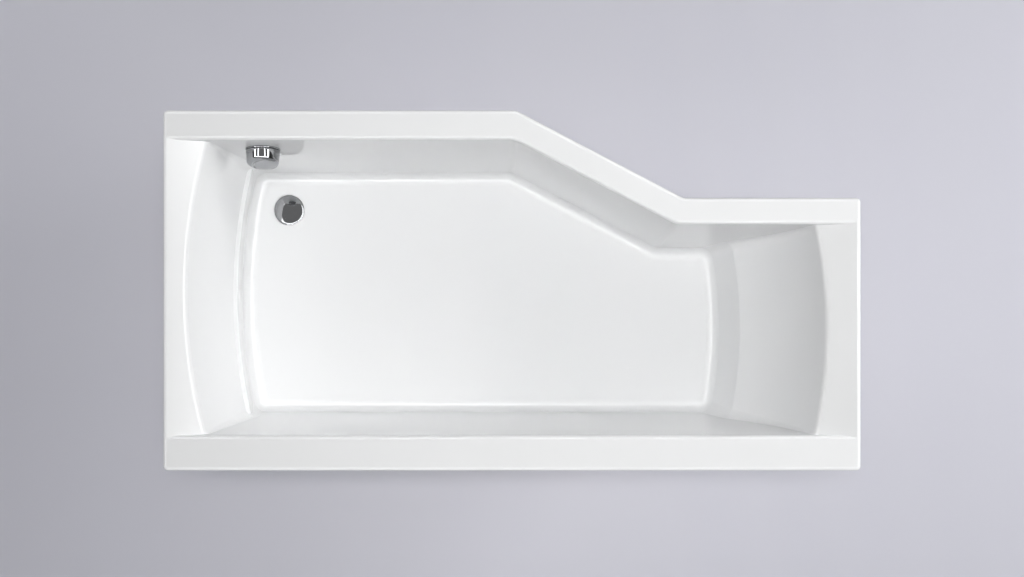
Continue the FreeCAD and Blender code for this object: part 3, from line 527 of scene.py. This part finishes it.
# %% Knob
KNOB_BACK = 0.038
KNOB_FRONT = 0.0356
KNOB_START = 0.0050
KNOB_SIDE = 0.030
KNOB_CROWN = 0.0375
KNOB_WALL = 0.0025
KNOB_HUB = 0.0095
KNOB_FLATNESS = 5
KNOB_STEPS = 20
KNOB_ROUNDING = 0.0011
KNOB_LEAN = math.radians(12)
slant = Matrix.Identity(4)
slant[2][1] = -math.tan(KNOB_LEAN)

knob_profile = [(KNOB_BACK - KNOB_WALL, KNOB_START), (KNOB_BACK, KNOB_START)]
for step in range(KNOB_STEPS + 1):
    share = 1 - (step / KNOB_STEPS) ** 2
    rise = math.sqrt(1 - share**KNOB_FLATNESS)
    knob_profile.append((KNOB_FRONT * share, KNOB_SIDE + (KNOB_CROWN - KNOB_SIDE) * rise))
knob_profile += [
    (0, KNOB_CROWN - KNOB_WALL),
    (KNOB_HUB, KNOB_CROWN - 2 * KNOB_WALL),
    (KNOB_FRONT - KNOB_WALL, KNOB_SIDE - KNOB_WALL / 2),
]
knob = spun(knob_profile)
front = [vert for vert in knob.verts if vert.co.z > KNOB_SIDE - KNOB_WALL]
bmesh.ops.transform(knob, matrix=slant, verts=front)
rounded(knob, KNOB_ROUNDING, segments=4)
piece("turning_knob", moved(knob, ON_WALL), "chrome", "knob", "overflow_knob")

# %% Rosette
ROSETTE_RADIUS = 0.0385
ROSETTE_THICK = 0.004
ROSETTE_BORE = 0.020
ROSETTE_TUBE = 0.024
ROSETTE_ROUNDING = 0.0014
OVERFLOW_HOLE = 0.0238

rosette_profile = [
    (ROSETTE_BORE, -ROSETTE_TUBE),
    (OVERFLOW_HOLE, -ROSETTE_TUBE),
    (OVERFLOW_HOLE, 0),
    (ROSETTE_RADIUS, 0),
    (ROSETTE_RADIUS, ROSETTE_THICK),
    (ROSETTE_BORE, ROSETTE_THICK),
]
rosette = rounded(spun(rosette_profile), ROSETTE_ROUNDING, segments=4)
piece("wall_rosette", moved(rosette, ON_WALL), "chrome", "tub", "overflow_rosette")

# %% [markdown]
# ## The plug
# The plug is a shallow chrome dome that stands a little above the floor, with a skirt and a stem below
# it. A squashed ball would bulge at its edge, so the dome's profile is a true arc, and the whole plug is
# one lathe shape on the drain's axis.

# %% Plug
PLUG_CROWN = 0.006
PLUG_EDGE = 0.003
PLUG_SEAT = 0.0014
PLUG_ROUNDING = 0.0011
DOME_STEPS = 12
SKIRT_RADIUS = 0.0195
SKIRT_DEPTH = 0.008
STEM_RADIUS = 0.004
plug_low, plug_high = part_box("drain_plug")
plug_radius = (plug_high.x - plug_low.x) / 2
drain_middle = (plug_low + plug_high) / 2
AT_DRAIN = Matrix.Translation((drain_middle.x, drain_middle.y, plug_high.z - PLUG_CROWN))
stem_end = plug_low.z - AT_DRAIN.translation.z


def dome(edge_radius, edge_height, top_height):
    """Points of a round dome's profile, from its edge to its top."""
    rise = top_height - edge_height
    radius = (edge_radius**2 + rise**2) / (2 * rise)
    spread = math.asin(edge_radius / radius)
    angles = [spread * (1 - step / DOME_STEPS) for step in range(DOME_STEPS + 1)]
    return [(radius * math.sin(angle), top_height - radius * (1 - math.cos(angle))) for angle in angles]


plug_profile = [
    (0, stem_end),
    (STEM_RADIUS, stem_end + STEM_RADIUS),
    (STEM_RADIUS, -SKIRT_DEPTH),
    (SKIRT_RADIUS, -SKIRT_DEPTH),
    (SKIRT_RADIUS, PLUG_SEAT),
    (plug_radius, PLUG_SEAT),
]
plug_profile += dome(plug_radius, PLUG_EDGE, PLUG_CROWN)
plug = rounded(spun(plug_profile, closed=False), PLUG_ROUNDING, segments=4)
piece("plug_cover", moved(plug, AT_DRAIN), "chrome", "plug", "drain_plug")

# %% [markdown]
# ## The waste flange
# Round the plug lies the thin ring of the flange, with its tube below the floor. A spider of four arms
# inside the tube guides the plug's stem. Ring and hub are lathe shapes, the arms are stretched cubes,
# and all of them are joined into one piece.

# %% Flange with its spider
FLANGE_RADIUS = 0.0365
FLANGE_SEAT = 0.001
FLANGE_BEVEL = 0.005
FLANGE_SLOPE = 0.0012
FLANGE_CREST = 0.7
FLANGE_ROUNDING = 0.0003
WASTE_TUBE = 0.025
WASTE_BORE = 0.0225
GUIDE_RADIUS = 0.0075
GUIDE_BORE = STEM_RADIUS * 1.05
GUIDE_DEPTH = 0.030
GUIDE_THICK = 0.004
HUB_ROUNDING = 0.0004
SPIDER_ARM = 0.005
SPIDER_ARMS = 4
ARM_ROUNDING = 0.0006
tube_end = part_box("waste_flange")[0].z - AT_DRAIN.translation.z


def joined(*shapes):
    """Several shapes in one, each still closed by itself."""
    whole = bmesh.new()
    for shape in shapes:
        mesh = bpy.data.meshes.new("joining")
        shape.to_mesh(mesh)
        shape.free()
        whole.from_mesh(mesh)
        bpy.data.meshes.remove(mesh)
    return whole


flange_profile = [
    (WASTE_BORE, tube_end),
    (WASTE_TUBE, tube_end),
    (WASTE_TUBE, -FLANGE_SEAT),
    (FLANGE_RADIUS, -FLANGE_SEAT),
    (FLANGE_RADIUS, -FLANGE_SEAT / 3),
    (FLANGE_RADIUS - FLANGE_SLOPE, FLANGE_SEAT * FLANGE_CREST),
    (FLANGE_RADIUS - FLANGE_BEVEL, FLANGE_SEAT),
    (WASTE_BORE + FLANGE_BEVEL, FLANGE_SEAT),
    (WASTE_BORE, -FLANGE_SEAT),
]
flange = rounded(spun(flange_profile), FLANGE_ROUNDING, sharper_than=50)
hub_profile = [
    (GUIDE_BORE, -GUIDE_DEPTH),
    (GUIDE_RADIUS, -GUIDE_DEPTH),
    (GUIDE_RADIUS, GUIDE_THICK - GUIDE_DEPTH),
    (GUIDE_BORE, GUIDE_THICK - GUIDE_DEPTH),
]
hub = rounded(spun(hub_profile, steps=32), HUB_ROUNDING)
arms = bmesh.new()
arm_length = WASTE_BORE - GUIDE_RADIUS + FLANGE_SEAT
out_to_arm = Matrix.Translation(((WASTE_BORE + GUIDE_RADIUS) / 2, 0, GUIDE_THICK / 2 - GUIDE_DEPTH))
arm_size = Matrix.Diagonal((arm_length, SPIDER_ARM, GUIDE_THICK, 1))
for arm in range(SPIDER_ARMS):
    turn = Matrix.Rotation(arm * math.tau / SPIDER_ARMS, 4, "Z")
    bmesh.ops.create_cube(arms, size=1, matrix=turn @ out_to_arm @ arm_size)
rounded(arms, ARM_ROUNDING)
piece("drain_flange", moved(joined(flange, hub, arms), AT_DRAIN), "chrome", "tub", "waste_flange")

# %% [markdown]
# ## Rails under the tub
# The two cross rails are folded from steel sheet. A sheet-metal part is easiest as the fold is made:
# three strips, the two fold lines rounded with a bevel, and then the sheet's thickness.

# %% Folded rails
SHEET = 0.002
FOLD_RADIUS = 0.004
FOLD_SEGMENTS = 5


def folded_rail(node):
    low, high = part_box(node)
    shape = bmesh.new()
    corners = [(low.x, low.z), (low.x, high.z), (high.x, high.z), (high.x, low.z)]
    row = [shape.verts.new((x, low.y, z)) for x, z in corners]
    line = [shape.edges.new(pair) for pair in zip(row, row[1:])]
    pulled = bmesh.ops.extrude_edge_only(shape, edges=line)["geom"]
    ends = [item for item in pulled if isinstance(item, bmesh.types.BMVert)]
    bmesh.ops.translate(shape, verts=ends, vec=(0, high.y - low.y, 0))
    bmesh.ops.recalc_face_normals(shape, faces=shape.faces)
    web = shape.faces[:][1]
    if web.normal.z < 0:
        bmesh.ops.reverse_faces(shape, faces=shape.faces)
    folds = [edge for edge in shape.edges if len(edge.link_faces) == 2]
    bmesh.ops.bevel(
        shape, geom=folds, affect="EDGES", offset=FOLD_RADIUS, segments=FOLD_SEGMENTS, profile=0.5,
        material=-1,
    )
    bmesh.ops.solidify(shape, geom=shape.faces[:], thickness=SHEET)
    return shape


for end in ("foot", "head"):
    piece(f"{end}_end_cross_rail", folded_rail(f"{end}_end_rail"), "rail", "tub", f"{end}_end_rail")

# %% [markdown]
# ## Threaded rods
# Each foot stands on a threaded rod. A thread could be drawn on with a bump, but its outline would stay
# smooth. Here it is one ridge spun upwards: every turn of the spin climbs one pitch, and the ends are
# cut flat.

# %% Rods of the levelling feet
FEET = ("foot_back", "foot_front", "head_back", "head_front")
PITCH = 0.00175
THREAD_DEPTH = 0.0011
CREST_START = 0.42
CREST_END = 0.58
TURN_STEPS = 16
SPARE_TURNS = 2
THREAD_WELD = PITCH / 40
CUT_TOLERANCE = 1e-7


def cut_flat(shape, point, normal):
    """Cut away what lies beyond a plane and close the cut."""
    everything = shape.verts[:] + shape.edges[:] + shape.faces[:]
    cut = bmesh.ops.bisect_plane(
        shape, geom=everything, dist=CUT_TOLERANCE, plane_co=point, plane_no=normal, clear_outer=True
    )["geom_cut"]
    edges = [item for item in cut if isinstance(item, bmesh.types.BMEdge)]
    bmesh.ops.edgeloop_fill(shape, edges=edges)


def threaded_rod(radius, height):
    shape = bmesh.new()
    root = radius - THREAD_DEPTH
    ridge = [(root, 0), (radius, CREST_START), (radius, CREST_END), (root, 1)]
    corners = [shape.verts.new((reach, 0, (share - 1) * PITCH)) for reach, share in ridge]
    edges = [shape.edges.new(pair) for pair in zip(corners, corners[1:])]
    turns = math.ceil(height / PITCH) + SPARE_TURNS
    bmesh.ops.spin(
        shape, geom=corners + edges, axis=(0, 0, 1), cent=(0, 0, 0), dvec=(0, 0, PITCH / TURN_STEPS),
        angle=math.tau * turns, steps=TURN_STEPS * turns,
    )
    bmesh.ops.remove_doubles(shape, verts=shape.verts, dist=THREAD_WELD)
    cut_flat(shape, (0, 0, 0), (0, 0, -1))
    cut_flat(shape, (0, 0, height), (0, 0, 1))
    return shape


def on_rod(name, height):
    """A shift to a foot's axis, at a height."""
    low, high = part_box(f"levelling_rod_{name}")
    middle = (low + high) / 2
    return Matrix.Translation((middle.x, middle.y, height))


for name in FEET:
    low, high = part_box(f"levelling_rod_{name}")
    rod = threaded_rod((high.x - low.x) / 2, high.z - low.z)
    moved(rod, on_rod(name, low.z))
    piece(f"threaded_rod_{name}", rod, "rod", f"{name}_leg", f"levelling_rod_{name}")

# %% [markdown]
# ## Foot pads
# A plastic pad sits on each rod's end. Such pads are moulded as a flared cup with thin ribs between its
# neck and its rim, so that they stay stiff with little plastic. The cup is spun, and each rib is a
# cube with its outer top edge pushed down to the rim.

# %% Pads of the levelling feet
PAD_RIM = 0.006
PAD_RIM_EDGE = 0.6 * PAD_RIM
PAD_NECK = 0.012
PAD_FLARE = 0.004
PAD_SOCKET = 0.00605
PAD_FLOOR = 0.010
PAD_STEPS = 64
PAD_ROUNDING = 0.0008
RIBS = 8
RIB_THICK = 0.0026
RIB_SHORTER = 0.002
RIB_INWARD = 0.0015
RIB_TALLER = 0.004
RIB_ROUNDING = 0.0005


def foot_pad(radius, height):
    profile = [
        (0, 0),
        (radius, 0),
        (radius, PAD_RIM_EDGE),
        (PAD_NECK + PAD_FLARE, PAD_RIM),
        (PAD_NECK, height - PAD_RIM),
        (PAD_NECK, height),
        (PAD_SOCKET, height),
        (PAD_SOCKET, PAD_FLOOR),
        (0, PAD_FLOOR),
    ]
    cup = rounded(spun(profile, steps=PAD_STEPS, closed=False), PAD_ROUNDING)
    reach = radius - PAD_NECK
    halfway = PAD_NECK + reach / 2
    drop = 2 * PAD_RIM - height
    spot = Matrix.Translation((halfway - RIB_INWARD, 0, height / 2 - PAD_RIM / 2))
    size = Matrix.Diagonal((reach - RIB_SHORTER, RIB_THICK, height - 2 * PAD_RIM + RIB_TALLER, 1))
    ribs = bmesh.new()
    for rib in range(RIBS):
        made = bmesh.ops.create_cube(ribs, size=1, matrix=spot @ size)["verts"]
        outer = [vert for vert in made if vert.co.x > halfway and vert.co.z > height / 2]
        bmesh.ops.translate(ribs, verts=outer, vec=(0, 0, drop))
        bmesh.ops.rotate(ribs, verts=made, matrix=Matrix.Rotation(rib * math.tau / RIBS, 3, "Z"))
    return joined(cup, rounded(ribs, RIB_ROUNDING))


for name in FEET:
    low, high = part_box(f"foot_pad_{name}")
    pad = foot_pad((high.x - low.x) / 2, high.z - low.z)
    moved(pad, on_rod(name, low.z))
    piece(f"ribbed_pad_{name}", pad, "foot", f"{name}_leg", f"foot_pad_{name}")

# %% [markdown]
# ## Nuts and washers
# Two nuts, each with a washer, clamp every rod to its rail. A nut is a chamfered ring with six flats cut
# off it, as it is made on a machine, which gives the curved chamfer lines that a plain six-sided block
# wouldn't have.

# %% Nuts and washers on the four rods
NUT_ACROSS = 0.019
NUT_CORNER = NUT_ACROSS / math.sqrt(3)
NUT_BORE = 0.00608
NUT_CHAMFER = 0.0011
NUT_FACE = NUT_ACROSS / 2 - NUT_CHAMFER / 4
NUT_SIDES = 6
WASHER_BORE = 0.0065
WASHER_RADIUS = 0.012
WASHER_ROUNDING = 0.0003


def hex_nut(height):
    profile = [
        (NUT_BORE, NUT_CHAMFER / 2),
        (NUT_BORE + NUT_CHAMFER / 2, 0),
        (NUT_FACE, 0),
        (NUT_CORNER, NUT_CHAMFER),
        (NUT_CORNER, height - NUT_CHAMFER),
        (NUT_FACE, height),
        (NUT_BORE + NUT_CHAMFER / 2, height),
        (NUT_BORE, height - NUT_CHAMFER / 2),
    ]
    shape = spun(profile)
    for side in range(NUT_SIDES):
        normal = Matrix.Rotation((side + 0.5) * math.tau / NUT_SIDES, 3, "Z") @ Vector((1, 0, 0))
        cut_flat(shape, normal * NUT_ACROSS / 2, normal)
    return shape


def washer(thick):
    profile = [(WASHER_BORE, 0), (WASHER_RADIUS, 0), (WASHER_RADIUS, thick), (WASHER_BORE, thick)]
    return rounded(spun(profile, steps=48), WASHER_ROUNDING, segments=2)


def on_each_rod(make, node):
    """One shape per foot, at the height of a node."""
    low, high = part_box(node)
    return joined(*[moved(make(high.z - low.z), on_rod(name, low.z)) for name in FEET])


for level in ("upper", "lower"):
    nuts = on_each_rod(hex_nut, f"{level}_nuts")
    piece(f"{level}_hex_nuts", nuts, "fastener", "tub", f"{level}_nuts")
    washers = on_each_rod(washer, f"{level}_washers")
    piece(f"{level}_flat_washers", washers, "fastener", "tub", f"{level}_washers")

# %% [markdown]
# ## Screws through the rails
# Eight pan-head screws hold the rails to the board. A head is a spun dome. Its cross recess could be cut
# with a second mesh, but that leaves ragged triangles. So four faces of the spin and the middle are
# pressed into the head.

# %% Pan-head screws
SCREW_LENGTH = 0.016
SCREW_TIP = 0.003
SCREW_HEAD = 0.005
SCREW_SHANK = 0.0024
SCREW_STEPS = 16
HEAD_FLAT = 0.55 * SCREW_HEAD
RECESS_HEART = 0.42 * HEAD_FLAT
RECESS_DEPTH = 0.0014
RECESS_ARM = 360 / SCREW_STEPS
SCREWS_IN_RAIL = 4
FIRST_SCREW = -0.190
LAST_SCREWS = {"foot": 0.190, "head": 0.030}
screws_low, screws_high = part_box("rail_screws")
HEAD_TALL = screws_high.z - screws_low.z - SCREW_LENGTH
SHOULDER_RADIUS = 0.86 * SCREW_HEAD
SHOULDER_HEIGHT = 0.82 * HEAD_TALL
BRIM_HEIGHT = 0.35 * HEAD_TALL


def pan_screw():
    """A screw that points up, its head below the rail's web at height 0."""
    profile = [
        (0, -HEAD_TALL),
        (RECESS_HEART, -HEAD_TALL),
        (HEAD_FLAT, -HEAD_TALL),
        (SHOULDER_RADIUS, -SHOULDER_HEIGHT),
        (SCREW_HEAD, -BRIM_HEIGHT),
        (SCREW_HEAD, 0),
        (SCREW_SHANK, 0),
        (SCREW_SHANK, SCREW_LENGTH - SCREW_TIP),
        (0, SCREW_LENGTH),
    ]
    shape = spun(profile, steps=SCREW_STEPS, closed=False)
    recess = []
    for face in shape.faces:
        centre = face.calc_center_median()
        arm = math.degrees(math.atan2(centre.y, centre.x)) % 90
        on_top = abs(centre.z + HEAD_TALL) < WELD
        if on_top and (centre.xy.length < RECESS_HEART or 0 < arm < RECESS_ARM):
            recess.append(face)
    pressed = bmesh.ops.extrude_face_region(shape, geom=recess)["geom"]
    bmesh.ops.delete(shape, geom=recess, context="FACES_ONLY")
    verts = [item for item in pressed if isinstance(item, bmesh.types.BMVert)]
    bmesh.ops.translate(shape, verts=verts, vec=(0, 0, RECESS_DEPTH))
    return shape


screws = []
for end, last in LAST_SCREWS.items():
    rail_low, rail_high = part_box(f"{end}_end_rail")
    for step in range(SCREWS_IN_RAIL):
        across = FIRST_SCREW + step * (last - FIRST_SCREW) / (SCREWS_IN_RAIL - 1)
        spot = ((rail_low.x + rail_high.x) / 2, across, rail_high.z - SHEET)
        screws.append(moved(pan_screw(), Matrix.Translation(spot)))
piece("pan_head_screws", joined(*screws), "fastener", "tub", "rail_screws")

# %% [markdown]
# ## Union nuts with grips
# The plastic nuts of the plumbing are turned by hand, so they have grip ribs. They are spun, and every
# third outer face is then pulled out into a rib. Ribs as separate blocks would have to be fitted to the
# round wall.

# %% Union nuts
NUT_RIB = 0.0012
RIB_EVERY = 3
RIB_SQUEEZE = 0.86
UPRIGHT = 0.1
OUTERMOST = 0.99
TRAP_PIPE = 0.0204
TRAP_THREAD = 0.0262
TRAP_SHOULDER = 0.0035
TRAP_SIDES = 54
PIPE_BORE = 0.0164
PIPE_THREAD = 0.0194
PIPE_NUT_OUTER = 0.0227
PIPE_SHOULDER = -0.0002
PIPE_NUT_HALF = 0.012
PIPE_SIDES = 48


def union_nut(pipe, thread, outer, shoulder, low, high, sides):
    """A nut round a pipe, with its shoulder at a height and its thread above it."""
    core = outer - NUT_RIB
    profile = [
        (pipe, low),
        (core, low),
        (core, high),
        (thread, high),
        (thread, shoulder),
        (pipe, shoulder),
    ]
    shape = spun(profile, steps=sides)
    ribs = []
    for face in shape.faces:
        centre = face.calc_center_median()
        turn = math.atan2(centre.y, centre.x) / math.tau
        column = round(turn * sides - 0.5) % RIB_EVERY
        outside = abs(face.normal.z) < UPRIGHT and centre.xy.length > core * OUTERMOST
        if outside and column == 0:
            ribs.append(face)
    pulled = bmesh.ops.extrude_discrete_faces(shape, faces=ribs)["faces"]
    squeeze = Matrix.Diagonal((1, 1, RIB_SQUEEZE, 1))
    for face in pulled:
        bmesh.ops.translate(shape, verts=face.verts[:], vec=face.normal * NUT_RIB)
        middle = face.calc_center_median()
        about = Matrix.Translation(middle) @ squeeze @ Matrix.Translation(-middle)
        bmesh.ops.transform(shape, matrix=about, verts=face.verts[:])
    return shape


def middle_of(node):
    low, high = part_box(node)
    return (low + high) / 2


trap_low, trap_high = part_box("trap_nut")
trap_outer = (trap_high.x - trap_low.x) / 2
trap_height = trap_high.z - trap_low.z
trap_nut = union_nut(TRAP_PIPE, TRAP_THREAD, trap_outer, TRAP_SHOULDER, 0, trap_height, TRAP_SIDES)
moved(trap_nut, Matrix.Translation((drain_middle.x, drain_middle.y, trap_low.z)))
piece("trap_union_nut", trap_nut, "nut_plastic", "tub", "trap_nut")

to_drain = drain_middle - middle_of("pipe_nut_lower")
to_drain.z = 0
NUT_AIMS = {"lower": to_drain.normalized(), "upper": ON_WALL.col[1].xyz}
for level, aim in NUT_AIMS.items():
    nut = union_nut(
        PIPE_BORE, PIPE_THREAD, PIPE_NUT_OUTER, PIPE_SHOULDER, -PIPE_NUT_HALF, PIPE_NUT_HALF, PIPE_SIDES
    )
    turn_to = Vector((0, 0, 1)).rotation_difference(aim).to_matrix().to_4x4()
    moved(nut, Matrix.Translation(middle_of(f"pipe_nut_{level}")) @ turn_to)
    piece(f"pipe_union_nut_{level}", nut, "nut_plastic", "tub", f"pipe_nut_{level}")

# %% [markdown]
# ## Moulded plumbing
# The waste body, trap, overflow cup and pipe are smooth mouldings whose CAD shape is right. Copies of
# them are merged and shaded with the solids' own normals, so their round walls lose the facets of loose
# triangles.

# %% Plumbing and small works
# Each row: the node that the piece stands for, its finish, and the body that carries it
MOULDED = {
    "waste_chamber": ("waste_body", "pipework", "tub"),
    "trap_u_bend": ("trap_bend", "pipework", "tub"),
    "overflow_cup": ("overflow_body", "pipework", "tub"),
    "overflow_downpipe": ("overflow_pipe", "pipework", "tub"),
    "plug_lift_lever": ("lift_lever", "works", "lever"),
    "cable_crank_arm": ("cable_crank", "works", "knob"),
    "cable_sheath": ("pull_cable", "cable", "tub"),
    "floor_board": ("base_board", "board", "tub"),
}
for name, (node, slot, body) in MOULDED.items():
    piece(name, node_copy(node), slot, body, node)

# %% [markdown]
# ## Seals and pins
# Seals, the lever's pin and the knob's spindle are plain rings and rods that sit between other pieces.
# Their CAD meshes are good enough as they are, so they only get a finish.

# %% Finishes on the nodes that stay
KEPT = {
    "seal": ("plug_seal", "flange_gasket", "waste_gasket", "trap_seal", "overflow_gasket"),
    "pin_steel": ("lever_pin", "knob_spindle"),
}
for slot, names in KEPT.items():
    for name in names:
        slots = frame["nodes"][name].data.materials
        for index in range(len(slots)):
            slots[index] = FINISHES[slot]
    print(slot, "on", ", ".join(names))

# %% [markdown]
# ## Floor
# The tub stands on a plain pale floor, wide enough to fill the picture from any side. It is a stage, not
# a part of the object.

# %% Floor
FLOOR_HALF = 12.0


def pale_floor():
    made = Finish("pale_floor", IOR=1.4)
    cloud = made.noise(0.8, detail=3.0)
    made.feed(
        Base_Color=cloud.between(colour(0.55, 0.55, 0.61), colour(0.58, 0.58, 0.64)),
        Roughness=0.75 + 0.1 * cloud,
    )
    return made.material


ground = bmesh.new()
bmesh.ops.create_grid(ground, x_segments=8, y_segments=8, size=FLOOR_HALF)
floor_mesh = bpy.data.meshes.new("floor")
ground.to_mesh(floor_mesh)
ground.free()
floor_mesh.materials.append(pale_floor())
floor = bpy.data.objects.new("floor", floor_mesh)
bpy.context.scene.collection.objects.link(floor)
print("floor", 2 * FLOOR_HALF, "wide")

# %% [markdown]
# ## Camera
# The photograph looks straight down from high above the tub. Vertical lines run towards one point of
# the picture, which gives the camera's place. From its height, the floor looks as much smaller than the
# rim as in the photograph, and the rim's length in the picture gives the lens. A tilted camera would
# make the rim's sides lean, so the camera looks straight down and is shifted.

# %% Camera
IMAGE_WIDTH = 1024
IMAGE_HEIGHT = 577
RIM_LENGTH_PIXELS = 698.5
VANISHING_ROW = 332.0
CAMERA_ABOVE_RIM = 3.2
CAMERA_Y = -0.0894
rim_length = cad_high.x - cad_low.x
view_width = rim_length * IMAGE_WIDTH / RIM_LENGTH_PIXELS
eye = bpy.data.cameras.new("camera")
eye.sensor_width = 36.0
eye.lens = eye.sensor_width * CAMERA_ABOVE_RIM / view_width
eye.shift_y = (VANISHING_ROW - IMAGE_HEIGHT / 2) / IMAGE_WIDTH
camera = bpy.data.objects.new("camera", eye)
camera.location = (0, CAMERA_Y, cad_high.z + CAMERA_ABOVE_RIM)
bpy.context.scene.collection.objects.link(camera)
bpy.context.scene.camera = camera
print("lens", round(eye.lens, 2), "shift", round(eye.shift_y, 4))

# %% [markdown]
# ## Lamps
# The light is soft, and stronger from the side of the backrest. A lamp straight above lights the well's
# floor and the rails. Two low lamps light the outer walls and hardly reach into the well. Reflections
# don't see the lamps, whose hard edges would draw boxes on the chrome.

# %% Light
# Each row: place, target, width, height, power in watts, and spread in degrees
LAMPS = {
    "top_light": ((0.0, 0.05, 6.0), (0, 0.05, 0), 1.6, 1.0, 24, 62),
    "key_light": ((3.4, 0.4, 1.7), (-0.4, 0, 0.35), 2.4, 0.9, 80, 180),
    "back_light": ((-0.6, 2.4, 3.2), (-0.2, -0.2, 0.3), 2.4, 1.2, 6, 180),
    "front_light": ((0.6, -2.4, 3.2), (0.2, 0.2, 0.3), 2.4, 1.2, 8, 180),
    "front_fill": ((-0.3, -3.0, 0.5), (0, 0, 0.3), 2.0, 0.5, 24, 180),
    "foot_fill": ((-3.0, 1.4, 0.5), (0, 0, 0.3), 2.0, 0.5, 24, 180),
}


def softbox(name, place, target, width, height, power, spread):
    """A rectangular lamp that faces a point. The camera and reflections don't see it."""
    lamp = bpy.data.lights.new(name, "AREA")
    lamp.shape = "RECTANGLE"
    lamp.size = width
    lamp.size_y = height
    lamp.energy = power
    lamp.spread = math.radians(spread)
    held = bpy.data.objects.new(name, lamp)
    held.location = place
    held.rotation_euler = (Vector(target) - Vector(place)).to_track_quat("-Z", "Y").to_euler()
    held.visible_camera = False
    held.visible_glossy = False
    bpy.context.scene.collection.objects.link(held)


for name, row in LAMPS.items():
    softbox(name, *row)
print("lamps:", ", ".join(LAMPS))

# %% [markdown]
# ## Sky of the studio
# Gloss shows its surroundings, so the sky has two bright rings that only mirrors see. They draw thin
# lines along the tub's roundings and stripes on the chrome, and add nothing to the soft light. Above the
# low ring, mirrors also see a grey that grows towards the zenith. Rays that meet a second mirror see a
# plain pale sky, so one chrome piece leaves no dark blot in the glossy wall beside it.

# %% Sky
LOW_RING_LIGHT = 14.0
HIGH_RING_LIGHT = 5.0
ZENITH_LIGHT = 0.25
PALE_SKY = 1.3
SEEN_SKY = 0.05
# A first mirror shows the sky at a ray depth of 2, and a second one at 3
FIRST_MIRROR = 2.5
world = bpy.data.worlds.new("studio")
world.use_nodes = True
sky = Value(world.node_tree)
direction = sky.node("ShaderNodeTexCoord", output="Generated")
upward = sky.node("ShaderNodeSeparateXYZ", inputs={0: direction}, output="Z")
glow = upward.ramp((0.0, 0.16), (0.25, 0.14), (0.40, 0.055), (1.0, 0.05))
low_ring = upward.ramp((0.63, 0.0), (0.66, 1.0), (0.73, 1.0), (0.76, 0.0))
high_ring = upward.ramp((0.885, 0.0), (0.90, 1.0), (0.93, 1.0), (0.945, 0.0))
zenith = upward.ramp((0.76, 0.0), (0.95, ZENITH_LIGHT))
seen = sky.node("ShaderNodeLightPath", output="Is Camera Ray")
mirrored = sky.node("ShaderNodeLightPath", output="Is Glossy Ray")
bounces = sky.node("ShaderNodeLightPath", output="Ray Depth")
first = sky.math("LESS_THAN", bounces, FIRST_MIRROR)
rings = LOW_RING_LIGHT * low_ring + HIGH_RING_LIGHT * high_ring
in_mirrors = first * (zenith + rings) + (1 - first) * PALE_SKY
brightness = glow + SEEN_SKY * seen + mirrored * in_mirrors
background = world.node_tree.nodes["Background"]
background.inputs["Color"].default_value = colour(1.0, 1.0, 1.0)
world.node_tree.links.new(brightness.socket, background.inputs["Strength"])
bpy.context.scene.world = world
bpy.context.scene.view_settings.view_transform = "Standard"
print("sky of", len(world.node_tree.nodes), "nodes")
